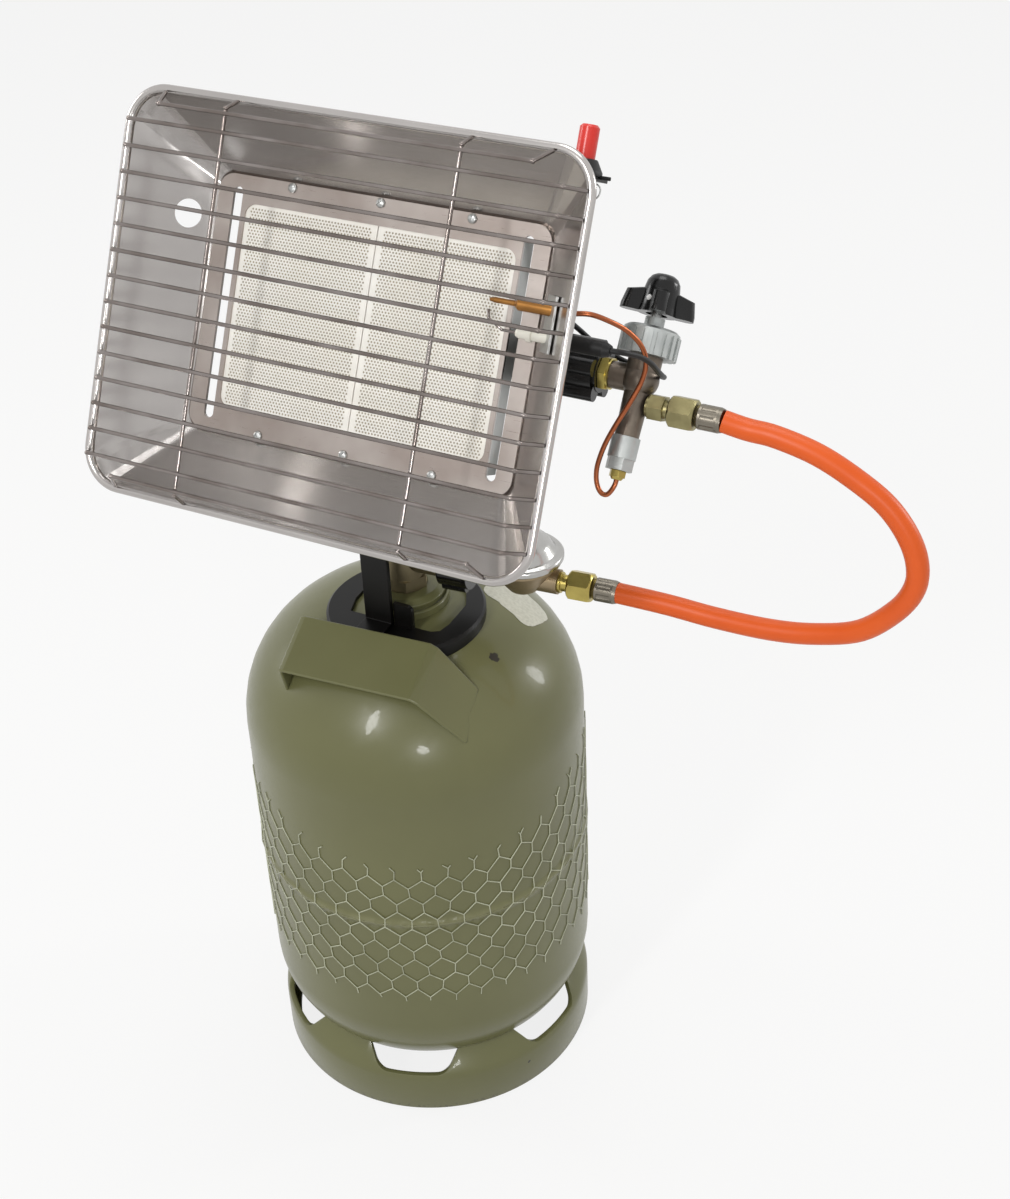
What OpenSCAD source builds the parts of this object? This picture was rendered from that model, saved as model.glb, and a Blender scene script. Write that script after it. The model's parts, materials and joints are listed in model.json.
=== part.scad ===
// Portable propane heater: a tilting ceramic plaque burner in a steel reflector,
// carried by a yoke on the neck of a 5 kg gas bottle, with its hose, regulator and gas tap.
// Millimetres, +Z up. The origin is on the floor, on the bottle's axis.
// The heater faces -Y, and its gas tap is on the +X side.

/* [Bottle] */
// Outside diameter of the bottle
bottle_d = 229; // [225:0.5:233]
// Height above the floor where the straight wall begins
wall_low_z = 85; // [80:1:100]
// Height above the floor where the straight wall ends
wall_high_z = 284.5; // [270:0.5:300]
// Thickness of the bottle's steel
bottle_wall = 2.6; // [2:0.1:4]
// Knuckle radius of the top head
top_knuckle = 82.6; // [78:0.1:88]
// Crown radius of the top head
top_crown = 230; // [200:1:300]
// Knuckle radius of the bottom head
low_knuckle = 60.5; // [55:0.5:66]
// Crown radius of the bottom head
low_crown = 215; // [190:1:240]
// Width of the girth weld
weld_w = 9; // [5:0.5:14]
// Height of the girth weld's crown above the wall
weld_h = 1.2; // [0.6:0.1:2]

/* [Foot ring] */
// Outside diameter of the foot ring
foot_d = 226.6; // [222:0.2:230]
// Thickness of the foot ring's steel
foot_t = 3; // [2:0.5:4]
// Height of the upright band of the foot ring
foot_band_h = 33; // [28:1:38]
// Height of the foot ring's upper edge, where it is welded to the bottle
foot_top_z = 50; // [46:1:56]
// Number of air openings round the foot ring
foot_gaps = 6; // [4:1:8]
// Width of an opening at its lower edge
foot_gap_w = 48; // [36:1:56]
// How much each side of an opening leans out on its way up
foot_gap_lean = 8; // [2:0.5:12]
// Width of the lip rolled in under the foot ring
foot_lip_w = 8; // [5:0.5:12]

/* [Neck] */
// Outside diameter of the collar round the valve boss
neck_ring_d = 56; // [55.6:0.1:56.4]
// Thickness of that collar's wall
neck_ring_t = 1.7; // [1:0.1:1.8]
// Diameter of the valve boss
boss_d = 52; // [48:1:56]
// Height of the valve boss above the top of the bottle
boss_h = 11; // [8:0.5:14]

/* [Bottle valve] */
// Height of the outlet's axis above the valve boss
outlet_rise = 22; // [20:0.5:26]
// Diameter of the valve's stem body
stem_d = 27; // [24:0.5:30]
// Diameter of the outlet thread
outlet_d = 21.8; // [20:0.1:24]
// Reach of the outlet from the bottle's axis
outlet_reach = 38; // [34:0.5:44]
// Angle of the outlet, turned from +X towards +Y
outlet_turn = 5; // [0:1:12]
// Diameter of the hand wheel
wheel_d = 44; // [38:1:46]
// Height of the hand wheel's rim
wheel_h = 14; // [10:0.5:15]
// Number of grips round the hand wheel
wheel_lobes = 8; // [6:1:12]

/* [Regulator] */
// Distance from the bottle's axis to the middle of the regulator's housing
reg_reach = 83; // [81:0.5:88]
// Diameter of the housing's clamped rim
reg_rim_d = 52; // [50:0.5:56]
// Thickness of the housing's clamped rim
reg_rim_t = 5; // [4:0.5:7]
// Height of the dome above the rim
reg_dome_h = 12; // [9:0.5:15]
// Height of the rim's underside above the regulator's axis
reg_rim_rise = 12; // [10:0.5:14]
// Diameter of the union nut across its grips
union_d = 36; // [34:0.5:40]
// Length of the union nut
union_l = 20; // [18:0.5:22]

/* [Hose] */
// Outside diameter of the hose
hose_d = 13.3; // [12:0.1:15]
// Width across flats of the hose's union nuts
hose_nut_af = 17.6; // [17:0.1:20]
// Length of a hose union nut
hose_nut_l = 15.8; // [14:0.1:18]
// Diameter of a crimped ferrule
ferrule_d = 15; // [14.6:0.1:17]
// Length of a crimped ferrule beyond its nut
ferrule_l = 16; // [13:0.5:20]
// Number of flutes pressed into a ferrule
ferrule_flutes = 8; // [6:1:10]
// Depth of a flute
flute_depth = 0.6; // [0.3:0.1:1]

/* [Marking plate] */
// Reach of the marking plate's face to the left of the bottle's middle
mark_left = 50; // [46:1:54]
// Reach of its face to the right
mark_right = 43; // [38:1:48]
// Distance of its upper edge in front of the bottle's axis
mark_top_y = 52; // [50:1:56]
// Distance of its lower edge in front of the bottle's axis
mark_low_y = 86; // [80:1:88]
// Height of its face above the dome
mark_rise = 10.8; // [8:0.2:14]
// Thickness of its sheet
mark_t = 2.6; // [2:0.2:3.2]
// Angle by which it is turned to the right
mark_turn = 4; // [0:1:8]

/* [Holder] */
// Outside diameter of the holder ring
holder_d = 104; // [102:0.5:106]
// Thickness of the holder ring's plate
holder_t = 2.6; // [2:0.1:3.4]
// Distance of the holder ring's middle to the right of the bottle's axis
holder_x = 5.5; // [5:0.5:7]
// Distance of the holder ring's middle in front of the bottle's axis
holder_y = 11; // [10:0.5:12]
// Width of the holder ring's opening
holder_open_w = 70; // [68:0.5:72]
// Distance of the opening's front edge in front of the bottle's axis
holder_open_y = 31.2; // [30.5:0.1:32]
// Width of the upright arm
arm_w = 19; // [16:0.5:24]
// Thickness of the arm and of the yoke's flat bar
arm_t = 4; // [3:0.5:5]
// Height of the lug beside the arm's foot
lug_h = 17; // [10:0.5:20]
// Width of that lug
lug_w = 13.5; // [8:0.5:16]

/* [Yoke] */
// Distance between the insides of the yoke's two legs
yoke_inside_w = 200.6; // [200.4:0.1:202]
// Width of the yoke's flat bar
yoke_bar_w = 17; // [14:0.5:18]
// Distance from the tilt axis to the middle of the yoke's cross bar
yoke_len = 120; // [116:0.5:126]
// Lean of the yoke from upright
yoke_lean = 26.5; // [20:0.5:30]
// Outside radius of the yoke's bends
yoke_bend_r = 10; // [8:0.5:14]
// Radius of the eyes at the ends of the legs
yoke_eye_r = 14; // [12:0.5:16]
// Height of the tilt axis above the floor
pivot_z = 553; // [548:0.5:558]
// Distance of the tilt axis behind the bottle's axis
pivot_y = 18; // [14:0.5:22]
// Tilt of the burner from upright, as it stands
tilt_rest = 26.5; // [15:0.5:40]
// Diameter of the left pivot bolt
bolt_d = 8; // [6:0.5:8]

/* [Reflector] */
// Width over the reflector's rolled rim
rim_w = 300; // [290:1:320]
// Height over the reflector's rolled rim
rim_h = 240; // [230:1:260]
// Outside corner radius of the rim
rim_corner_r = 26; // [20:1:34]
// Diameter of the rolled rim
bead_d = 5.5; // [4:0.5:7]
// Height of the rim's centre line in front of the burner plate
rim_z = 46; // [40:1:52]
// Width of the reflector's flat floor
floor_w = 223; // [216:1:230]
// Height of the reflector's flat floor
floor_h = 157; // [154:1:164]
// Corner radius of the floor
floor_corner_r = 10; // [6:1:16]
// Thickness of the reflector's sheet
sheet_t = 1; // [0.8:0.1:1.4]
// Distance of the tilt axis behind the reflector's floor
pivot_depth = 48; // [46:0.5:52]
// Width of the air slots beside the burner
slot_w = 6.5; // [5:0.5:7]
// Length of the air slots
slot_l = 139.5; // [120:0.5:142]
// Distance from the middle to the centre line of an air slot
slot_x = 96.25; // [96:0.05:97]
// Diameter of the spare burner hole in the left wall
spare_hole_d = 17; // [12:0.5:20]

/* [Burner] */
// Width of one ceramic plaque
plaque_w = 90.5; // [88:0.1:90.6]
// Height of a ceramic plaque
plaque_h = 132; // [128:0.5:134]
// Thickness of a ceramic plaque
plaque_t = 12.2; // [11:0.1:13]
// Width of the cemented joint between the plaques
plaque_joint = 0.6; // [0.4:0.1:1]
// Width of the frame's opening
window_w = 180; // [170:1:181]
// Height of the frame's opening
window_h = 122; // [114:1:126]
// Corner radius of the frame's opening
window_r = 7; // [4:0.5:10]
// Thickness of the frame plate
frame_t = 1.2; // [0.8:0.1:2]
// Thickness of the burner housing's sheet
housing_t = 1; // [0.8:0.1:1.2]
// Depth of the housing's straight part behind the reflector's floor
housing_straight = 14.5; // [14:0.1:16]
// Depth of the whole housing behind the reflector's floor
housing_depth = 34; // [30:0.5:35]
// Width of the housing's back
housing_back_w = 150; // [140:1:160]
// Height of the housing's back
housing_back_h = 100; // [90:1:110]
// Outside diameter of the mixing tube
mixer_d = 22; // [20:0.5:24]
// Wall thickness of the mixing tube
mixer_wall = 1.2; // [1:0.1:2]
// Distance from the middle to the mixing tube's open mouth
mixer_mouth_x = 80; // [76:0.5:82]
// Diameter of the tap inlet stub on the tilt axis
stub_d = 16; // [14:0.5:17]
// Diameter of the gas way through the brass fittings
gas_way_d = 7; // [5:0.5:8]

/* [Grille] */
// Diameter of a grille wire
wire_d = 2.4; // [2:0.1:3]
// Number of grille wires held at the sides
wire_count = 14; // [10:1:15]
// Distance from wire to wire
wire_pitch = 15; // [13:0.1:15.2]
// Height of the grille's face in front of the burner plate
grille_z = 62; // [58:0.5:70]
// Length of the straight part of a side wire
wire_l = 274; // [264:1:276]
// Distance of the first and last wires from the middle
end_wire_y = 108; // [106:0.5:109]
// Distance of the two tie wires from the middle
tie_x = 74.5; // [60:0.5:90]

/* [Gas tap] */
// Lean of the tap's spindle behind the plane of the burner
tap_turn = 10.5; // [6:0.5:12]
// Distance from the middle plane to the tap's spindle axis
tap_x = 157.7; // [156:0.1:160]
// Diameter of the tap's ball
tap_ball_d = 22; // [21:0.5:24]
// Diameter of the tap's barrel
barrel_d = 16; // [15:0.5:18]
// Length of the barrel below the tap's middle
barrel_l = 33.5; // [30:0.5:36]
// Diameter of the tap's left arm
tap_arm_d = 16; // [14:0.5:17]
// Distance of the hose port below the tap's middle
port_drop = 13.8; // [13:0.1:16]
// Diameter of the ribbed bonnet
bonnet_d = 35; // [32:0.5:38]
// Height of the ribbed bonnet
bonnet_h = 16.5; // [14:0.5:18]
// Number of ribs round the bonnet
bonnet_ribs = 20; // [12:1:24]
// Diameter over the tap knob's wings
knob_d = 43.6; // [40:0.2:46]
// Height of the tap knob
knob_h = 23.6; // [21:0.1:25]
// Travel of the tap knob when it is pushed
knob_push = 5; // [3:0.5:6]
// Diameter of the magnet unit
magnet_d = 16.8; // [15:0.1:19]
// Length of the magnet unit
magnet_l = 13; // [11:0.5:16]
// Diameter over the lobes of the star nut
star_d = 38; // [35:0.5:40]
// Length of the star nut
star_l = 29.4; // [26:0.1:30]

/* [Ignition] */
// Height of the thermocouple above the middle of the burner
probe_y = 32.5; // [30:0.5:36]
// Height of the spark electrode above the middle of the burner
spark_y = 17; // [14:0.5:19]
// Height of both in front of the burner plate
probe_z = 20; // [18:0.5:24]
// Diameter of the thermocouple's sleeve
probe_d = 7; // [6:0.5:9]
// Diameter of the electrode's ceramic
ceramic_d = 6; // [5:0.5:7]
// Diameter of the copper lead
copper_d = 3; // [2.5:0.1:3.4]
// Diameter of the ignition lead
lead_d = 3.2; // [2.6:0.1:3.6]
// Distance from the middle plane to the igniter's axis
igniter_x = 115.5; // [114:0.5:118]
// Depth of the igniter's axis behind the reflector's floor
igniter_depth = 12; // [11:0.5:14]
// Diameter of the igniter's body
igniter_d = 17; // [15:0.5:18]
// Length of the igniter below its shelf
igniter_l = 53; // [50:0.5:56]
// Diameter of the igniter's button
button_d = 11.4; // [9:0.1:13]
// Length of the button that stands out
button_l = 20; // [14:0.5:24]
// Travel of the igniter's button
button_push = 5; // [3:0.5:7]

/* [Hidden] */

eps = 0.01;
seat = 0.1;              // gap between pieces that sit on each other
run_gap = 0.3;           // gap beside a piece that turns or slides
bolt_gap = 0.2;          // radial gap round a bolt or stub
turn_n = 96;             // sides of large round pieces
small_n = 36;            // sides of small round pieces

bottle_r = bottle_d / 2;
foot_r = foot_d / 2;
weld_z = (wall_low_z + wall_high_z) / 2;

// Height of a dished head's surface above its tangent line, at radius r.
function head_h(r, R, knuckle, crown) =
    let(edge = R - knuckle, half = asin(edge / (crown - knuckle)), mid = (knuckle - crown) * cos(half))
    r > edge + knuckle * sin(half)
        ? sqrt(max(0, knuckle * knuckle - (r - edge) * (r - edge)))
        : mid + sqrt(crown * crown - r * r);
// Half profile of a dished head, from its tangent line to its axis.
function head_curve(R, knuckle, crown) =
    let(edge = R - knuckle, half = asin(edge / (crown - knuckle)), mid = (knuckle - crown) * cos(half))
    concat(
        [for (i = [0:10]) let(a = (90 - half) * i / 10) [edge + knuckle * cos(a), knuckle * sin(a)]],
        [for (i = [1:6]) let(a = half * (1 - i / 6)) [crown * sin(a), mid + crown * cos(a)]]);
// Height of the bottle's top surface above the floor, at radius r.
function dome_z(r) = wall_high_z + head_h(r, bottle_r, top_knuckle, top_crown);
// Radius of the bottle's bottom head at height z.
function base_r(z) =
    bottle_r - low_knuckle + sqrt(low_knuckle * low_knuckle - (wall_low_z - z) * (wall_low_z - z));

dome_top = dome_z(0);
boss_top = dome_top + boss_h;
boss_bore_r = 14;
outlet_z = boss_top + outlet_rise;
valve_top = outlet_z + outlet_d / 2 + 5;
wheel_z = valve_top + 5;
wheel_hub_h = 4;         // thickness of the hand wheel's top

plate_low = dome_z(holder_open_y) + 0.2;
holder_top = plate_low + holder_t;
arm_y = holder_open_y + 2.2;
collar_top = dome_z(0) + 4.2;

bar_side = yoke_inside_w / 2 + arm_t;
stub_r = stub_d / 2;
side_frame_x = slot_x;
side_frame_t = 2.5;
washer_t = yoke_inside_w / 2 - side_frame_x - side_frame_t - 2 * seat;
star_x = bar_side + run_gap;
lock_nut_x = star_x + star_l + run_gap;
lock_nut_l = 6;
tap_arm_x = lock_nut_x + lock_nut_l;

plate_back = sheet_t;
plaque_back = plaque_t + 0.2;
housing_w = 2 * plaque_w + plaque_joint + 1 + 2 * housing_t;
housing_h = plaque_h + 1 + 2 * housing_t;
gasket_t = 1;
mixer_r = mixer_d / 2;
mixer_end_x = 45;
port_x = tap_x + barrel_d / 2;
hose_nut_x = port_x + 14.3;
hose_start_x = hose_nut_x + hose_nut_l + ferrule_l;
reg_tail_x = reg_reach + reg_rim_d / 2 - 1.8;
reg_nut_x = reg_tail_x + 6.6;
reg_hose_x = reg_nut_x + hose_nut_l + ferrule_l;

module steel() color([0.72, 0.72, 0.70]) children();
module zinc() color([0.62, 0.64, 0.66]) children();
module brass() color([0.71, 0.58, 0.30]) children();
module olive() color([0.42, 0.44, 0.33]) children();
module black() color([0.10, 0.10, 0.10]) children();
module ceramic() color([0.93, 0.90, 0.80]) children();

// Frame of the bottle valve's outlet: local +X runs along the outlet.
module at_outlet() rotate([0, 0, outlet_turn]) translate([0, 0, outlet_z]) children();
// Frame of the yoke: origin on the tilt axis, local -Z runs down the legs.
module at_yoke() translate([0, pivot_y, pivot_z]) rotate([-yoke_lean, 0, 0]) children();
// Frame of the burner head: X to the right, Y up the panel, Z out of its face,
// with the origin in the middle of the reflector's floor.
module at_head()
    translate([0, pivot_y, pivot_z]) rotate([90 - tilt_rest, 0, 0]) translate([0, 0, pivot_depth])
        children();
// Frame of the gas tap: origin in the ball, local +Z up its spindle, local +X to the hose.
module at_tap() at_head() translate([tap_x, 0, -pivot_depth]) rotate([-90 - tap_turn, 0, 0]) children();

// Cylinder along +X from x0 to x1.
module rod_x(x0, x1, r, r2 = undef, n = small_n)
    translate([x0, 0, 0]) rotate([0, 90, 0])
        cylinder(h = x1 - x0, r1 = r, r2 = r2 == undef ? r : r2, $fn = n);
// Cylinder from point a to point b.
module rod(a, b, r, n = 16) {
    d = b - a;
    l = norm(d);
    translate(a) rotate([0, acos(d[2] / l), atan2(d[1], d[0])]) cylinder(h = l, r = r, $fn = n);
}
// Wire through a list of points: straight lengths that stop short of each corner, and meet in a ball.
module wire(points, r, n = 16) {
    last = len(points) - 1;
    ways = [for (i = [1:last]) unit(points[i] - points[i - 1])];
    cuts = [for (i = [0:last]) i == 0 || i == last ? 0
        : 1.05 * r * tan(acos(ways[i - 1] * ways[i]) / 2)];
    for (i = [1:last])
        rod(points[i - 1] + cuts[i - 1] * ways[i - 1], points[i] - cuts[i] * ways[i - 1], r, n);
    for (i = [1:last - 1]) translate(points[i]) sphere(r = 1.06 * norm([r, cuts[i]]), $fn = n);
}
// Six-sided nut along +X, w across flats.
module hex_x(x0, x1, w) rod_x(x0, x1, w / 2 / cos(30), n = 6);
// Rectangle with round corners.
module round_rect(w, h, r, n = small_n)
    hull() for (x = [-1, 1], y = [-1, 1])
        translate([x * (w / 2 - r), y * (h / 2 - r)]) circle(r = r, $fn = n);

// Tube swept along a hand-drawn route: ring points, smoothed by a Catmull-Rom curve.
function curve_at(p, i, t) =
    let(n = len(p) - 1, a = p[max(0, i - 1)], b = p[i], c = p[min(n, i + 1)], d = p[min(n, i + 2)])
    0.5 * (2 * b + (c - a) * t + (2 * a - 5 * b + 4 * c - d) * t * t + (3 * b - a - 3 * c + d) * t * t * t);
function smooth(p, steps) =
    concat([for (i = [0:len(p) - 2], s = [0:steps - 1]) curve_at(p, i, s / steps)], [p[len(p) - 1]]);
function unit(v) = v / norm(v);
function tangents(p) =
    [for (i = [0:len(p) - 1]) unit(p[min(i + 1, len(p) - 1)] - p[max(i - 1, 0)])];
// Ring normals carried along the route without twisting.
function carry(t, i, n) =
    i >= len(t) ? [] : let(m = unit(n - (n * t[i]) * t[i])) concat([m], carry(t, i + 1, m));
module tube(route, r, sides, first_normal, first_dir = undef, last_dir = undef) {
    t0 = tangents(route);
    last = len(route) - 1;
    t = [for (i = [0:last]) i == 0 && first_dir != undef ? first_dir
        : i == last && last_dir != undef ? last_dir : t0[i]];
    n = carry(t, 0, first_normal);
    rings = [for (i = [0:last], k = [0:sides - 1])
        let(b = cross(t[i], n[i]), a = 360 * k / sides) route[i] + r * (cos(a) * n[i] + sin(a) * b)];
    walls = [for (i = [0:last - 1], k = [0:sides - 1]) let(j = (k + 1) % sides)
        [i * sides + k, (i + 1) * sides + k, (i + 1) * sides + j, i * sides + j]];
    polyhedron(rings, concat([[for (k = [0:sides - 1]) k]], walls,
        [[for (k = [sides - 1:-1:0]) last * sides + k]]));
}

// ---- Gas bottle ----

module shell_lower() olive() {
    inner = head_curve(bottle_r - bottle_wall, low_knuckle - bottle_wall, low_crown - bottle_wall);
    outer = head_curve(bottle_r, low_knuckle, low_crown);
    n = len(outer) - 1;
    lip_r = bottle_r - bottle_wall - seat;
    rotate_extrude($fn = turn_n) polygon(concat(
        [for (i = [n:-1:0]) [outer[i][0], wall_low_z - outer[i][1]]],
        [[bottle_r, weld_z - weld_w / 2], [bottle_r + weld_h, weld_z - weld_w / 5],
         [bottle_r + weld_h, weld_z], [lip_r, weld_z], [lip_r, weld_z + 8],
         [lip_r - bottle_wall, weld_z + 8], [lip_r - bottle_wall, weld_z - 4],
         [bottle_r - bottle_wall, weld_z - 8]],
        [for (i = [0:n]) [inner[i][0], wall_low_z - inner[i][1]]]));
}

// The space inside the bottle's top surface, for pieces that are cut to lie on it.
module dome_solid(grow) {
    outer = head_curve(bottle_r, top_knuckle, top_crown);
    rotate_extrude($fn = turn_n) polygon(concat([[0, weld_z], [bottle_r + grow, weld_z]],
        [for (p = outer) [p[0] + (p[0] > 1 ? grow : 0), wall_high_z + p[1] + grow]]));
}

module shell_upper() olive() {
    inner = head_curve(bottle_r - bottle_wall, top_knuckle - bottle_wall, top_crown - bottle_wall);
    outer = head_curve(bottle_r, top_knuckle, top_crown);
    n = len(outer) - 1;
    difference() {
        rotate_extrude($fn = turn_n) polygon(concat(
            [[bottle_r - bottle_wall, weld_z + seat], [bottle_r + weld_h, weld_z + seat],
             [bottle_r + weld_h, weld_z + weld_w / 5], [bottle_r, weld_z + weld_w / 2]],
            [for (i = [0:n]) [outer[i][0], wall_high_z + outer[i][1]]],
            [for (i = [n:-1:0]) [inner[i][0], wall_high_z + inner[i][1]]]));
        translate([0, 0, dome_top - 20]) cylinder(h = 40, r = boss_bore_r + 4, $fn = small_n);
    }
}

module foot_ring() olive() {
    top_r = base_r(foot_top_z) + seat;
    foot_gap_z = foot_band_h + 0.6;
    difference() {
        rotate_extrude($fn = turn_n) polygon([
            [foot_r - foot_lip_w, 0], [foot_r, 0], [foot_r, foot_band_h], [top_r + foot_t, foot_top_z],
            [top_r, foot_top_z], [foot_r - foot_t, foot_band_h - 1], [foot_r - foot_t, foot_t],
            [foot_r - foot_lip_w, foot_t]]);
        for (k = [0:foot_gaps - 1]) rotate([0, 0, 19 + 360 / foot_gaps * k])
            translate([0, -foot_r - 10, 0]) rotate([-90, 0, 0]) linear_extrude(40) polygon([
                [-foot_gap_w / 2, -foot_gap_z], [foot_gap_w / 2, -foot_gap_z],
                [foot_gap_w / 2 + foot_gap_lean + 3, -foot_top_z - 5],
                [-foot_gap_w / 2 - foot_gap_lean - 3, -foot_top_z - 5]]);
    }
}

module valve_boss() olive() {
    r = boss_d / 2;
    low = dome_z(boss_bore_r + 4);
    rotate_extrude($fn = turn_n) polygon([
        [boss_bore_r, dome_top - bottle_wall - 3], [boss_bore_r + 4 - seat, dome_top - bottle_wall - 3],
        [boss_bore_r + 4 - seat, low + seat], [r, low + seat], [r, low + 3], [r - 1.5, low + 4],
        [r - 1.5, low + 6], [r, low + 7], [r, boss_top - 3], [r - 4, boss_top], [boss_bore_r, boss_top]]);
}

module neck_ring() olive() {
    r = neck_ring_d / 2;
    in = r - neck_ring_t;
    rotate_extrude($fn = turn_n) polygon([
        [in, dome_z(in) + seat], [r, dome_z(r) + seat], [r, collar_top - 1], [r - 1, collar_top],
        [in, collar_top]]);
}

// Flat sheet piece between round corners.
module facet(r, corners) hull() for (p = corners) translate(p) sphere(r = r, $fn = 12);

// Line across the bent plate, from its upper to its lower edge, part of the way from line a to line b.
function between(a, b, t) = [for (k = [0, 1]) a[k] + t * (b[k] - a[k])];

// Point on the dome, at an angle from the front and at a distance from the bottle's axis.
function on_dome(turn, r) = [r * sin(turn), -r * cos(turn), dome_z(r)];

// Bent plate for the bottle's markings. The left wing drops straight to the dome, the right one leans out.
module id_plate() olive() difference() {
    top = dome_z(mark_top_y) + mark_rise;
    low = dome_z(mark_low_y) + mark_rise;
    left = [[-mark_left, -mark_top_y, top], [-mark_left, -mark_low_y, low]];
    right = [[mark_right, -mark_top_y, top], [mark_right, -mark_low_y, low]];
    left_foot = [for (y = [mark_top_y - 2, mark_low_y - 6]) [-mark_left, -y, dome_z(norm([mark_left, y]))]];
    right_foot = [on_dome(54, mark_low_y), on_dome(43.5, mark_low_y + 18)];
    bends = [left_foot, between(left, left_foot, 0.2),
        between(between(left, left_foot, 0.05), between(left, right, 0.01), 0.5),
        between(left, right, 0.03), between(right, left, 0.03), between(right, right_foot, 0.08),
        between(right, right_foot, 0.4), between(right, right_foot, 0.7), right_foot];
    rotate([0, 0, mark_turn])
        for (i = [1:len(bends) - 1]) facet(mark_t / 2, concat(bends[i - 1], bends[i]));
    dome_solid(0.15);
}

module net_sleeve() color([0.80, 0.80, 0.74]) difference() {
    low = 108;
    high = 240;
    r = bottle_r + weld_h + 0.4;
    translate([0, 0, low]) cylinder(h = high - low, r = r + 1.8, $fn = turn_n);
    translate([0, 0, low - 1]) cylinder(h = high - low + 2, r = r, $fn = turn_n);
}

// ---- Bottle valve ----

module bottle_valve() brass() difference() {
    union() {
        translate([0, 0, dome_top - 2]) cylinder(h = boss_h + 2.5, r = boss_bore_r - seat, $fn = small_n);
        translate([0, 0, boss_top + seat]) cylinder(h = 8, r = stem_d / 2 + 2, $fn = 6);
        translate([0, 0, boss_top + 4])
            cylinder(h = valve_top - boss_top - 4, r = stem_d / 2, $fn = small_n);
        at_outlet() {
            rod_x(0, outlet_reach, outlet_d / 2);
            rod_x(-stem_d / 2 - 6, 0, 8);
            hex_x(-stem_d / 2 - 10, -stem_d / 2 - 5, 14);
        }
    }
    at_outlet() rod_x(outlet_reach - 22, outlet_reach + 1, gas_way_d / 2);
    translate([0, 0, dome_top - 3]) cylinder(h = outlet_z - dome_top, r = gas_way_d / 2, $fn = small_n);
}

module valve_bonnet() brass() {
    translate([0, 0, valve_top]) cylinder(h = 3.5, r = 12, $fn = 6);
    translate([0, 0, valve_top + 3])
        cylinder(h = wheel_z + wheel_h - wheel_hub_h - seat - valve_top - 3, r = 4, $fn = small_n);
}

module hand_wheel() black() translate([0, 0, wheel_z]) difference() {
    union() {
        cylinder(h = wheel_h, r = wheel_d / 2 - 2, $fn = turn_n);
        for (k = [0:wheel_lobes - 1]) rotate([0, 0, 360 / wheel_lobes * k])
            translate([wheel_d / 2 - 5, 0, 0]) cylinder(h = wheel_h - 1.5, r = 5, $fn = 24);
        translate([0, 0, wheel_h - eps])
            cylinder(h = 2, r1 = wheel_d / 2 - 3, r2 = wheel_d / 2 - 7, $fn = turn_n);
    }
    translate([0, 0, -1]) cylinder(h = wheel_h - wheel_hub_h + 1, r = wheel_d / 2 - 11, $fn = small_n);
}

// ---- Regulator ----

module regulator_body() color([0.62, 0.52, 0.38]) at_outlet() difference() {
    union() {
        rod_x(outlet_reach + seat, outlet_reach + 5, outlet_d / 2 - 1);
        rod_x(outlet_reach + 4, reg_reach - 20, 7);
        rod_x(reg_reach - 24, reg_tail_x, 8);
        translate([reg_reach, 0, -8]) cylinder(h = 8, r1 = 10, r2 = 16, $fn = small_n);
        translate([reg_reach, 0, -eps])
            cylinder(h = reg_rim_rise, r1 = 16, r2 = reg_rim_d / 2 - 3, $fn = turn_n);
        translate([reg_reach, 0, reg_rim_rise - 2 * eps])
            cylinder(h = 1.5, r = reg_rim_d / 2 - 1.5, $fn = turn_n);
    }
    rod_x(outlet_reach - 1, reg_reach - 12, gas_way_d / 2);
    rod_x(reg_reach + 12, reg_tail_x + 1, gas_way_d / 2);
}

module regulator_dome() zinc() at_outlet() translate([reg_reach, 0, reg_rim_rise + 1.5 + seat]) {
    r = reg_rim_d / 2;
    rotate_extrude($fn = turn_n) polygon([
        [0, 0], [r - 1.2, 0], [r, 1.2], [r, reg_rim_t - 1.6], [r - 1.4, reg_rim_t], [r - 4, reg_rim_t],
        [r - 6, reg_rim_t + 2.5], [r - 9, reg_rim_t + reg_dome_h * 0.6],
        [r - 14, reg_rim_t + reg_dome_h * 0.88], [r - 20, reg_rim_t + reg_dome_h],
        [0, reg_rim_t + reg_dome_h]]);
}

module regulator_tail() brass() at_outlet() difference() {
    union() {
        rod_x(reg_tail_x + seat, reg_tail_x + 2, 6.8);
        rod_x(reg_tail_x + 2 - eps, reg_nut_x + 8, 5.4);
    }
    rod_x(reg_tail_x, reg_nut_x + 10, gas_way_d / 2 - 1);
}

// Nut that draws the regulator on to the bottle valve's outlet.
module union_nut() black() at_outlet() {
    x0 = outlet_reach - 9;
    difference() {
        union() {
            rod_x(x0, x0 + union_l, union_d / 2 - 2.5, n = turn_n);
            for (k = [0:5]) rotate([60 * k, 0, 0]) translate([0, union_d / 2 - 5, 0])
                rod_x(x0 + 2, x0 + union_l - 2, 5, n = 24);
        }
        rod_x(x0 - 1, outlet_reach + 5.3, outlet_d / 2 + run_gap);
        rod_x(outlet_reach, x0 + union_l + 1, 7 + run_gap);
    }
}

// ---- Hose ends: a hex union nut and a crimped ferrule ----

module hose_nut(x0) difference() {
    intersection() {
        hex_x(x0, x0 + hose_nut_l, hose_nut_af);
        union() {
            rod_x(x0, x0 + 2, hose_nut_af / 2 - 0.6, hose_nut_af / 2 + 1.5);
            rod_x(x0 + 2 - eps, x0 + hose_nut_l - 2 + eps, hose_nut_af);
            rod_x(x0 + hose_nut_l - 2, x0 + hose_nut_l, hose_nut_af / 2 + 1.5, hose_nut_af / 2 - 0.6);
        }
    }
    rod_x(x0 - 1, x0 + 9, 5.5);
    rod_x(x0, x0 + hose_nut_l + 1, 4.2);
}

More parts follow.
